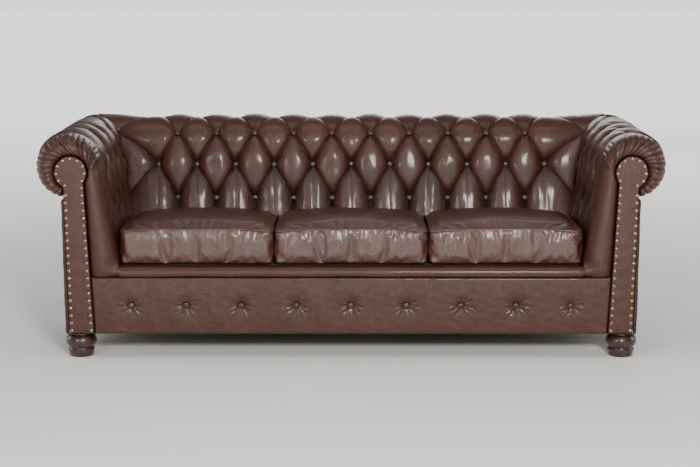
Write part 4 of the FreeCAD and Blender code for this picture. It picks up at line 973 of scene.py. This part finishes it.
def frontPanelSkin():
    plan = frontPlan
    x, z = np.meshgrid(np.linspace(-1, 1, plan["columns"] + 1),
                       np.linspace(plan["lowZ"], plan["topZ"], plan["rows"] + 1))
    half = facingEdge(z - facing["footZ"])[0] + 0.6    # the ends lean with the facings
    x = x * half
    away = np.minimum.reduce([half - np.abs(x), z - plan["lowZ"], plan["topZ"] - z])
    edge = limited(1 - away / plan["edgeWidth"])
    y = plan["y"] + plan["edgeDepth"] * rollOff(edge)
    y = y - plan["swell"] * limited(away / 60) ** 0.6
    # painted shade along the rolled edges
    tuck = 0.7 * edge ** 2
    rng = np.random.default_rng(plan["seed"])
    for centre in frontButtonXs:
        dx, dz = x - centre, z - plan["buttonZ"]
        reach = np.hypot(dx, dz)
        dent = plan["dimple"] * (0.6 * bell(reach, 25) + 0.4 * np.exp(-reach / 15))
        star = np.zeros(x.shape)
        for fold in range(plan["folds"]):    # short ridges that run out below the button
            way = (-math.pi / 2 + (fold - (plan["folds"] - 1) / 2) * plan["foldTurn"]
                   + rng.uniform(-0.2, 0.2))
            ahead = dx * math.cos(way) + dz * math.sin(way)
            aside = -dx * math.sin(way) + dz * math.cos(way)
            size = rng.uniform(0.5, 1.0) * (1 if abs(way + math.pi / 2) < 1.4 else 0.45)
            length = rng.uniform(9, 15)
            star += (size * (bell(aside, 2.8) - 0.6 * bell(aside - 6, 3))
                     * bell(ahead - 24, length) * (ahead > 0))
        y = y + dent - plan["star"] * star
        # painted shade in each dimple and in the grooves beside the ridges
        tuck = tuck + 0.9 * bell(reach, 15) + 0.25 * limited(-star)
    points = np.stack([x, y, z], axis=-1)
    points[..., 1] += (0.8 * ripple(points * (1, 1, 0.5), 90, 15)
                       + 0.3 * ripple(points, 30, 16)) * (1 - edge)
    backX, backZ = x[::6, ::8], z[::6, ::8]
    skin = Skin()
    skin.slab(points, np.stack([backX, np.full(backX.shape, plan["back"]), backZ], -1),
              limited(tuck))
    return skin


piece("frontPanel", frontPanelSkin().mesh("frontPanel"), "leather",
      stands=("front_rail_cover", "front_rail_wadding"))
frontButtons = [(np.array([x, frontPlan["y"] + frontPlan["buttonIn"], frontPlan["buttonZ"]]),
                 np.array([0, -1.0, 0])) for x in frontButtonXs]
buttonPiece("frontButtons", frontButtons, ("front_rail_buttons",), 5)

lipPlan = {"half": 749, "seamZ": 265, "retreat": 1.4, "fade": 9, "columns": 260,
           "uneven": 0.04, "wave": 160, "seed": 19,
           # y and height above the seam, round the roll of the lip
           "line": ((-343.5, 24), (-343.5, 30), (-356, 32.5), (-372, 32), (-383, 28.5),
                    (-389.5, 20), (-391, 11), (-389, 2.5), (-385, 0.5), (-378, 2), (-366, 8))}


def rounded(corners, parts):
    # a closed loop of points that runs smoothly through the corners
    corners = np.asarray(corners, dtype=float)
    found = []
    for number in range(len(corners)):
        before, start, end, after = [corners[(number + shift) % len(corners)]
                                     for shift in (-1, 0, 1, 2)]
        for share in np.arange(parts) / parts:
            found.append(0.5 * (2 * start + (end - before) * share
                                + (2 * before - 5 * start + 4 * end - after) * share ** 2
                                + (3 * start - before - 3 * end + after) * share ** 3))
    return np.array(found)


def lipSkin():
    # the lip's outline carried along X and closed at both ends
    plan = lipPlan
    loop = rounded([(y, plan["seamZ"] + up) for y, up in plan["line"]], 4)
    xs = np.linspace(-plan["half"], plan["half"], plan["columns"])
    points = np.empty((len(xs), len(loop) + 1, 3))
    closed = np.vstack([loop, loop[:1]])
    points[..., 0] = xs[:, None]
    points[..., 1:] = closed[None]
    wave = ripple(points[:, :1] * (1, 0, 0), plan["wave"], plan["seed"]) * plan["uneven"]
    points[..., 1:] += (points[..., 1:] - loop.mean(0)) * wave[..., None]
    fromEnd = xs[-1] - np.abs(points[..., 0])
    points[..., 1] += plan["retreat"] * limited(1 - fromEnd / plan["fade"])
    skin = Skin()
    numbers = skin.grid(points)
    skin.faces += [numbers[0, :-1][::-1].tolist(), numbers[-1, :-1].tolist()]
    return skin


piece("seatLip", lipSkin().mesh("seatLip"), "leather",
      stands=("seat_lip_cover", "seat_lip_foam"))
print("front made")


# outside panels
panelPlan = {
    "footZ": 78.5, "topZ": 517.5, "thickness": 5, "sideFootX": 923, "sideTopX": 928,
    "sideFrontY": -390, "rearFootY": 248, "rearTopY": 285, "sideSeams": (0.45, 0.77),
    "backSeams": (0.333, 0.667), "swell": 2.6, "seam": 2.4, "seamWidth": 2.6,
    "edgeWidth": 5, "edgeDepth": 4.4, "fade": 45, "sideColumns": 128, "backColumns": 320,
    "rows": 88, "coarser": 8,
    "returned": (7.6, 2.6)}    # how far the front edge turns in to the facing, low and high


def panelSkin(corners, outward, seams, columns, seed, returned=(0, 0)):
    # corners: low start, low end, high end, high start
    plan, rows = panelPlan, panelPlan["rows"]
    corners = [np.array(corner, dtype=float) for corner in corners]
    outward = np.array(outward, dtype=float)

    def surface(columns, rows):
        u, v = np.meshgrid(np.linspace(0, 1, columns + 1), np.linspace(0, 1, rows + 1))
        u, v = u[..., None], v[..., None]
        return blend(corners, u, v), u, v

    flat, u, v = surface(columns, rows)
    width, height = [np.linalg.norm(corners[other] - corners[0]) for other in (1, 3)]
    u, v = u[..., 0], v[..., 0]
    away = np.minimum.reduce([u * width, (1 - u) * width, v * height, (1 - v) * height])
    edge = limited(1 - away / plan["edgeWidth"])
    groove = sum(bell((u - seam) * width, plan["seamWidth"]) for seam in seams)
    toSeam = np.minimum.reduce([np.abs(u - seam) * width for seam in (0, *seams, 1)])
    lift = (plan["swell"] * limited(toSeam / plan["fade"]) ** 0.6
            * limited(away / plan["fade"]) ** 0.5 - plan["seam"] * groove
            - plan["edgeDepth"] * rollOff(edge))
    lift = lift + (0.9 * ripple(flat, 150, seed) + 0.3 * ripple(flat, 38, seed + 1)) * (1 - edge)
    front = flat + outward * lift[..., None]
    back, u, v = surface(columns // plan["coarser"], rows // plan["coarser"])
    turnedIn = limited(1 - u * width / 9) * (returned[0] * (1 - v) + returned[1] * v)
    back = back - outward * (plan["thickness"] + turnedIn)
    skin = Skin()
    # painted shade in the seam grooves and along the rolled edges
    skin.slab(front, back, limited(groove + 0.6 * edge))
    return skin


def sidePanel(seed):
    plan = panelPlan
    return panelSkin([(plan["sideFootX"], plan["sideFrontY"], plan["footZ"]),
                      (plan["sideFootX"], plan["rearFootY"], plan["footZ"]),
                      (plan["sideTopX"], plan["rearTopY"], plan["topZ"]),
                      (plan["sideTopX"], plan["sideFrontY"], plan["topZ"])],
                     (1, 0, 0), plan["sideSeams"], plan["sideColumns"], seed, plan["returned"])


def backPanel(seed):
    plan = panelPlan
    foot, top = [plan[x] - plan["thickness"] - 1 for x in ("sideFootX", "sideTopX")]
    return panelSkin([(foot, plan["rearFootY"], plan["footZ"]),
                      (-foot, plan["rearFootY"], plan["footZ"]),
                      (-top, plan["rearTopY"], plan["topZ"]),
                      (top, plan["rearTopY"], plan["topZ"])],
                     (0, 1, 0), plan["backSeams"], plan["backColumns"], seed)


bothSides("OutsideArm", sidePanel, (51, 53), ("_outside_arm_cover",))
piece("outsideBack", backPanel(57).mesh("outsideBack"), "leather",
      stands=("outside_back_cover",))
print("outside panels made")


# seat cushions
cushionPlan = {
    "width": 499, "pitch": 499.6, "depth": 492, "height": 116, "crown": 27, "corner": 22,
    "draw": 4, "middleY": -113.5, "restZ": 291.6, "tilt": -1.93, "voxel": 6.0,
    "pressure": 4.0, "frames": 20, "mostMove": 9.0, "start": 2.0, "rim": 7.0, "piping": 2.7,
    "droop": (15.0, 8.0), "quality": 5, "shrinking": -0.03, "stretch": 12, "bend": 1.2,
    # height and length of the waves: on the boxing, then on the top
    "boxingWaves": ((1.0, 34), (0.8, 80)), "topWaves": ((1.3, 150), (0.45, 46)),
    "edgePoints": 49, "boxingPoints": 13, "pipingPoints": 96, "pipingIn": 0.9, "pipingLow": 1.6}


def cushionDroop(first, second):
    # how far the top edge sinks towards its corners, more at the back
    return np.where(second > 0, *cushionPlan["droop"]) * (first * second) ** 4


def cushionPoint(first, second, third, shrink):
    # a place on a cube, each number from -1 to 1, carried to the cushion
    plan = cushionPlan
    halfX, halfY = plan["width"] / 2 - shrink, plan["depth"] / 2 - shrink
    corner, height = plan["corner"] - shrink, plan["height"] - 2 * shrink
    x, y = first * halfX, second * halfY
    pastX = (np.abs(x) - (halfX - corner)) / corner
    pastY = (np.abs(y) - (halfY - corner)) / corner
    both = (pastX > 0) & (pastY > 0)
    roundX = halfX - corner + corner * pastX * np.sqrt(limited(1 - pastY ** 2 / 2))
    roundY = halfY - corner + corner * pastY * np.sqrt(limited(1 - pastX ** 2 / 2))
    x = np.where(both, np.copysign(roundX, x), x)
    y = np.where(both, np.copysign(roundY, y), y)
    waist = plan["draw"] * (1 + 0.8 * (1 - third ** 2))
    x = x - first * waist * (1 - second ** 2)
    y = y - second * waist * (1 - first ** 2)
    flat = (1 - first ** 2) * (1 - second ** 2)
    z = shrink + height * (third + 1) / 2 + np.where(third > 0.999, plan["crown"] * flat ** 0.7, 0)
    z = z - cushionDroop(first, second) * (third + 1) / 2
    return np.stack([x, y, z], axis=-1)


def cushionBlank(shrink):
    skin = Skin()
    share = np.linspace(-1, 1, cushionPlan["edgePoints"])
    up = np.linspace(-1, 1, cushionPlan["boxingPoints"])
    first, second = np.meshgrid(share, share)
    for third in (-1.0, 1.0):
        skin.grid(cushionPoint(first, second, np.full(first.shape, third), shrink))
    first, third = np.meshgrid(share, up)
    for side in (-1.0, 1.0):
        fixed = np.full(first.shape, side)
        skin.grid(cushionPoint(first, fixed, third, shrink))
        skin.grid(cushionPoint(fixed, first, third, shrink))
    return skin.mesh("cushionBlank")


def coordinates(mesh):
    found = np.empty(len(mesh.vertices) * 3)
    mesh.vertices.foreach_get("co", found)
    return found.reshape(-1, 3) / mm


def laidOut(mesh, points):
    mesh.vertices.foreach_set("co", (points * mm).reshape(-1))
    mesh.update()


def evaluated(thing):
    seen = thing.evaluated_get(bpy.context.evaluated_depsgraph_get())
    return bpy.data.meshes.new_from_object(seen)


def cushionMesh(name, seed):
    plan = cushionPlan
    thing = placed(name + "Blank", cushionBlank(plan["start"]))
    remesh = thing.modifiers.new("remesh", "REMESH")
    remesh.mode = "VOXEL"
    remesh.voxel_size = plan["voxel"] * mm * 1
    mesh = evaluated(thing)
    thing.modifiers.clear()
    thing.data = mesh
    before = coordinates(mesh)
    halfX, halfY = plan["width"] / 2, plan["depth"] / 2
    toSide = np.minimum(halfX - np.abs(before[:, 0]), halfY - np.abs(before[:, 1]))
    top = plan["height"] - cushionDroop(before[:, 0] / halfX, before[:, 1] / halfY)
    toTop = np.minimum(top - before[:, 2], before[:, 2])
    away = np.maximum(np.maximum(toSide - 10, 0), np.abs(toTop))
    rim = limited(1 - away / plan["rim"])
    hold = thing.vertex_groups.new(name="rim")
    for number in np.nonzero(rim > 0.05)[0]:
        hold.add([int(number)], float(min(1, rim[number] * 1.5)), "REPLACE")
    cloth = thing.modifiers.new("cloth", "CLOTH")
    setting = cloth.settings
    setting.quality = plan["quality"]
    setting.use_pressure = True
    setting.uniform_pressure_force = plan["pressure"]
    setting.effector_weights.gravity = 0
    setting.vertex_group_mass = "rim"
    setting.shrink_min = plan["shrinking"]
    setting.tension_stiffness = setting.compression_stiffness = plan["stretch"]
    setting.bending_stiffness = plan["bend"]
    for number in range(1, plan["frames"] + 1):
        bpy.context.scene.frame_set(number)
    after = coordinates(evaluated(thing))
    move = after - before
    length = np.linalg.norm(move, axis=1, keepdims=True)
    move *= np.minimum(1, plan["mostMove"] / np.maximum(length, 1e-6))
    points = before + move
    thing.modifiers.clear()
    bpy.context.scene.frame_set(1)
    # soft creases that hang down the front of the boxing, and low waves over the top
    side = limited((points[:, 2] - 4) / 20) * limited((plan["height"] - points[:, 2]) / 14)
    onFront = limited((-points[:, 1] - plan["depth"] / 2 + 26) / 12)
    (fine, fineLength), (broad, broadLength) = plan["boxingWaves"]
    points[:, 1] += onFront * side * (
        fine * ripple(points * (1, 0, 0.22), fineLength, seed)
        + broad * ripple(points * (1, 0, 0.35), broadLength, seed + 1))
    onTop = limited((points[:, 2] - plan["height"] + 4) / 6)
    (broad, broadLength), (fine, fineLength) = plan["topWaves"]
    points[:, 2] += onTop * (broad * ripple(points * (1, 1, 0), broadLength, seed + 2)
                             + fine * ripple(points * (1, 0.6, 0), fineLength, seed + 3))
    points[:, 0] = np.clip(points[:, 0], -plan["width"] / 2 + 0.4, plan["width"] / 2 - 0.4)
    points[:, 1] = np.clip(points[:, 1], -plan["depth"] / 2 - 3, plan["depth"] / 2 + 2)
    points[:, 2] = np.clip(points[:, 2], 0.3, None)
    laidOut(mesh, points)
    smooth = thing.modifiers.new("smooth", "SUBSURF")
    smooth.levels = smooth.render_levels = 1
    done = evaluated(thing)
    thing.modifiers.clear()
    bpy.data.objects.remove(thing)
    return done


def onSeat(mesh, number):
    # from the cushion's own place to where it lies
    plan = cushionPlan
    mesh.transform(Matrix.Translation((
        plan["pitch"] * (number - 1) * mm, plan["middleY"] * mm, plan["restZ"] * mm))
        @ Matrix.Rotation(math.radians(plan["tilt"]), 4, "X"))
    mesh.update()
    return mesh


def tube(name, line, thickness, sides=10):
    # a closed ring of leather piping along a line of points
    line = np.asarray(line)
    ahead = np.roll(line, -1, 0) - np.roll(line, 1, 0)
    ahead /= np.linalg.norm(ahead, axis=1, keepdims=True)
    across = np.cross(ahead, (0, 0, 1.0))
    across /= np.linalg.norm(across, axis=1, keepdims=True)
    above = np.cross(across, ahead)
    angle = np.linspace(0, 2 * math.pi, sides + 1)[None, :, None]
    points = (line[:, None] + thickness * (np.cos(angle) * across[:, None]
                                           + np.sin(angle) * above[:, None]))
    skin = Skin()
    skin.grid(np.concatenate([points, points[:1]]))
    return skin.mesh(name)


def pipingLine():
    # round the cushion's top edge, one side after the other
    plan = cushionPlan
    share = np.linspace(-1, 1, plan["pipingPoints"] + 1)[:-1]
    one = np.ones(share.shape)
    first = np.concatenate([share, one, -share, -one])
    second = np.concatenate([-one, share, one, -share])
    line = cushionPoint(first, second, np.full(first.shape, 0.99),
                        plan["piping"] + plan["pipingIn"])
    line[:, 2] = plan["height"] - plan["pipingLow"] - cushionDroop(first, second)
    return line


for number, side in enumerate(("left", "middle", "right")):
    body = side + "_cushion"
    mesh = onSeat(cushionMesh(side + "Cushion", 60 + 7 * number), number)
    mesh.shade_smooth()
    piece(side + "Cushion", mesh, "cushion_leather", body,
          (body + "_cover", body + "_core"))
    welt = onSeat(tube(side + "Piping", pipingLine(), cushionPlan["piping"]), number)
    piece(side + "Piping", welt, "cushion_leather", body, (body + "_piping",))
    print(side, "cushion made")


# seat deck under the cushions
deckPlan = {
    "half": 745, "frontY": -342, "rearY": 154, "slope": 20 / 593,
    "springTop": 253.5, "springY": -364,    # height of the springs' top, and where it is that high
    "top": 46.4, "under": 5.0, "edgeWidth": 12, "edgeDepth": 10, "seamX": 250, "seamWidth": 2.5,
    "seam": 2.0, "uneven": 0.8, "wave": 120, "columns": 240, "rows": 80, "coarser": 8, "seed": 81}


def deckSkin():
    plan = deckPlan

    def surface(columns, rows, lift):
        x, y = np.meshgrid(np.linspace(-plan["half"], plan["half"], columns + 1),
                           np.linspace(plan["frontY"], plan["rearY"], rows + 1))
        away = np.minimum.reduce([plan["half"] - np.abs(x), y - plan["frontY"],
                                  plan["rearY"] - y])
        z = plan["springTop"] - (y - plan["springY"]) * plan["slope"] + lift
        return np.stack([x, y, z], axis=-1), away

    top, away = surface(plan["columns"], plan["rows"], plan["top"])
    under = surface(plan["columns"] // plan["coarser"], plan["rows"] // plan["coarser"],
                    plan["under"])[0]
    edge = limited(1 - away / plan["edgeWidth"])
    seams = bell(np.abs(top[..., 0]) - plan["seamX"], plan["seamWidth"])
    top[..., 2] -= plan["edgeDepth"] * rollOff(edge) + plan["seam"] * seams
    top[..., 2] += plan["uneven"] * (ripple(top, plan["wave"], plan["seed"]) - 1.2) * (1 - edge)
    skin = Skin()
    skin.slab(top, under, limited(seams + 0.5 * edge))
    return skin


piece("seatDeck", deckSkin().mesh("seatDeck"), "lining_cloth",
      stands=("deck_cover", "deck_foam", "deck_felt"))


# webbing straps behind the back's padding
strapPlan = {"count": 5, "firstZ": 312, "pitch": 62, "width": 50, "half": 788, "depth": 44.2,
             "faces": (-1.0, 0.8), "rib": 0.25, "ribLength": 7.0, "columns": 120}


def strapSkin():
    plan = strapPlan
    skin = Skin()
    for number in range(plan["count"]):
        z = plan["firstZ"] + number * plan["pitch"] + np.array((-1, 1)) * plan["width"] / 2 * (
            math.cos(lean))
        front = roll["backY"] + tangentOut - (tangentZ - z) * math.tan(lean)
        faces = []
        for face in plan["faces"]:
            level = plan["depth"] / math.cos(lean) + face
            x, row = np.meshgrid(np.linspace(-plan["half"], plan["half"], plan["columns"] + 1),
                                 (0, 1))
            y = (front + level)[row] + plan["rib"] * np.sin(x / plan["ribLength"])
            faces.append(np.stack([x, y, z[row]], axis=-1))
        skin.slab(*faces)
    return skin


piece("backStraps", strapSkin().mesh("backStraps"), "webbing", stands=("back_webbing",))


# cloth under the frame
dustPlan = {
    "halfX": 902, "frontY": -374, "rearY": 238, "z": 81.6, "thickness": 1.1, "sag": 2.0,
    "sagOver": 120, "notch": 35, "footX": 879, "footYs": (-350, 200), "columns": 120, "rows": 60}


def dustSkin():
    # a grid with the four corners round the feet left out
    plan = dustPlan
    notchX = plan["footX"] - plan["notch"]
    notchYs = [(y - plan["notch"], y + plan["notch"]) for y in plan["footYs"]]
    ys = np.unique(np.append(np.linspace(plan["frontY"], plan["rearY"], plan["rows"]),
                             [notchYs[0][1], *notchYs[1]]))
    xs = np.unique(np.append(np.linspace(-plan["halfX"], plan["halfX"], plan["columns"]),
                             [-notchX, notchX]))
    x, y = np.meshgrid(xs, ys)
    away = np.minimum.reduce([plan["halfX"] - np.abs(x), y - plan["frontY"], plan["rearY"] - y])
    sag = plan["sag"] * limited(away / plan["sagOver"]) ** 0.7
    layers = [np.stack([x, y, plan["z"] - sag - drop], axis=-1)
              for drop in (0, plan["thickness"])]

    def atFoot(a, b):
        middleX, middleY = abs(xs[a] + xs[a + 1]) / 2, (ys[b] + ys[b + 1]) / 2
        return middleX > notchX and any(low < middleY < high for low, high in notchYs)

    skin = Skin()
    columns = len(xs)
    skin.points = [layer.reshape(-1, 3) for layer in layers]
    skin.paintedShades = [np.zeros(x.size), np.zeros(x.size)]
    edges = {}
    for b in range(len(ys) - 1):
        for a in range(columns - 1):
            if atFoot(a, b):
                continue
            ring = [b * columns + a, b * columns + a + 1, (b + 1) * columns + a + 1,
                    (b + 1) * columns + a]
            skin.faces.append(ring)
            skin.faces.append([number + x.size for number in ring[::-1]])
            for pair in zip(ring, ring[1:] + ring[:1]):
                edges.setdefault(frozenset(pair), []).append(pair)
    for found in edges.values():
        if len(found) == 1:
            one, other = found[0]
            skin.faces.append([one, other, other + x.size, one + x.size])
    return skin


def dropLoose(mesh):
    shape = bmesh.new()
    shape.from_mesh(mesh)
    bmesh.ops.delete(shape, geom=[v for v in shape.verts if not v.link_faces], context="VERTS")
    shape.to_mesh(mesh)
    shape.free()
    return mesh


dustCloth = piece("bottomCloth", dropLoose(dustSkin().mesh("bottomCloth")), "lining_cloth",
                  stands=("dust_cover",))
print("deck, straps and bottom cloth made")


# turned feet
footPlan = {
    "places": {"front_left": (-879, -350), "front_right": (879, -350),
               "rear_left": (-879, 200), "rear_right": (879, 200)},
    # radius and height up the outside
    "line": ((0.01, 0), (34, 0), (37.2, 0.8), (38.3, 3), (40.5, 13), (42.6, 22), (43.0, 24.5),
             (41.6, 26.6), (40.0, 28.2), (39.7, 30), (40.4, 32), (43.2, 34.5), (47.6, 40),
             (49.8, 47), (50.1, 53), (48.6, 60), (45.0, 66.5), (40.4, 70.8), (37.2, 72.4),
             (36.2, 73.6), (36, 75), (36, 78.8), (30, 79), (0.01, 79)), "segments": 64}


def footSkin(x, y):
    line = np.array(footPlan["line"], dtype=float)
    finer = [line[0]]
    for start, end in zip(line, line[1:]):
        finer += [start + (end - start) * share for share in (0.5, 1)]
    finer = np.array(finer)
    finer[2:-2] = 0.25 * finer[1:-3] + 0.5 * finer[2:-2] + 0.25 * finer[3:-1]
    angle = np.linspace(0, 2 * math.pi, footPlan["segments"] + 1)
    points = np.empty((len(finer), len(angle), 3))
    points[..., 0] = x + finer[:, :1] * np.cos(angle)
    points[..., 1] = y + finer[:, :1] * np.sin(angle)
    points[..., 2] = finer[:, 1:]
    skin = Skin()
    skin.grid(points)
    return skin


for name, (x, y) in footPlan["places"].items():
    mesh = footSkin(x, y).mesh("foot_" + name)
    piece("turned_foot_" + name, mesh, "foot_wood", stands=("foot_" + name,))
print("feet turned")


# what stays from the frame
carried = {
    "frame_wood": ("front_seat_rail", "rear_seat_rail", "side_seat_rails", "seat_cross_braces",
                   "corner_blocks", "arm_posts", "back_posts", "back_roll_former",
                   "arm_roll_formers", "back_tack_rail", "arm_rails", "arm_liners",
                   "arm_front_boards"),
    "steel": ("seat_springs", "spring_clips", "foot_plates", "foot_bolts")}
for slot, names in carried.items():
    for name in names:
        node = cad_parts[name]
        node.data.materials.clear()
        node.data.materials.append(finishes[slot])


# floor, lamps and surroundings
studio = {
    "floorHalf": 30.0, "floorShade": 0.985,
    "floor": (246, 245, 243), "air": (246, 247, 250), "airLight": 0.3, "airSeen": 1.6,
    "glow": (1.35, 1.35, 1.36, 1), "glowFrom": 1.6, "glowTo": 8.0, "lampColour": (1, 0.955, 0.91),
    # place, aim, width, height, watts
    "lamps": {"key": ((0.9, -5.2, 2.2), (0, 0, 0.35), 0.9, 0.7, 250),
              "fill": ((-2.6, -4.6, 1.7), (0, 0, 0.35), 1.4, 1.0, 70),
              "over": ((-0.2, -0.9, 3.6), (0, 0.1, 0.5), 3.6, 1.6, 34),
              "behind": ((0.8, 5.2, 2.6), (0, 0.2, 0.5), 4.0, 2.0, 80),
              "leftSide": ((-5.4, 1.0, 1.8), (0, 0, 0.4), 2.4, 2.2, 60),
              "rightSide": ((5.4, 0.4, 1.8), (0, 0, 0.4), 2.4, 2.2, 60)}}


def makeStudio():
    mesh = bpy.data.meshes.new("floor")
    reach = studio["floorHalf"]
    mesh.from_pydata([(-reach, -reach, 0), (reach, -reach, 0), (reach, reach, 0),
                      (-reach, reach, 0)], [], [(0, 1, 2, 3)])
    floor = placed("floor", mesh)
    paint = Finish("paleFloor", {"Roughness": 0.75, "Emission Strength": 1.0})
    # far from the object the floor glows like the air, so no horizon shows
    distance = paint.add("ShaderNodeVectorMath", {"operation": "LENGTH"}, {0: paint.place}, 1)
    paint.set(Emission_Color=paint.mix(
        paint.between(distance, studio["glowFrom"], studio["glowTo"]),
        (0, 0, 0, 1), studio["glow"]))
    tone = paint.between(paint.noise(1.5, 2), 0.2, 0.8)
    base = colour(*studio["floor"])
    mesh.materials.append(paint.set(Base_Color=paint.mix(
        tone, base, tuple(c * studio["floorShade"] for c in base[:3]) + (1,))))
    world = bpy.data.worlds.new("air")
    bpy.context.scene.world = world
    world.use_nodes = True
    sky = world.node_tree.nodes["Background"]
    sky.inputs["Color"].default_value = colour(*studio["air"])
    # brighter to look at than as a light, so the leather keeps its depth
    path = world.node_tree.nodes.new("ShaderNodeLightPath")
    level = world.node_tree.nodes.new("ShaderNodeMapRange")
    level.inputs["To Min"].default_value = studio["airLight"]
    level.inputs["To Max"].default_value = studio["airSeen"]
    world.node_tree.links.new(path.outputs["Is Camera Ray"], level.inputs["Value"])
    world.node_tree.links.new(level.outputs[0], sky.inputs["Strength"])
    for name, (place, aim, width, height, watts) in studio["lamps"].items():
        lamp = bpy.data.lights.new(name, "AREA")
        lamp.shape = "RECTANGLE"
        lamp.size, lamp.size_y, lamp.energy = width, height, watts
        lamp.color = studio["lampColour"]
        aimed(placed(name, lamp), place, aim)


makeStudio()
print("studio lit")
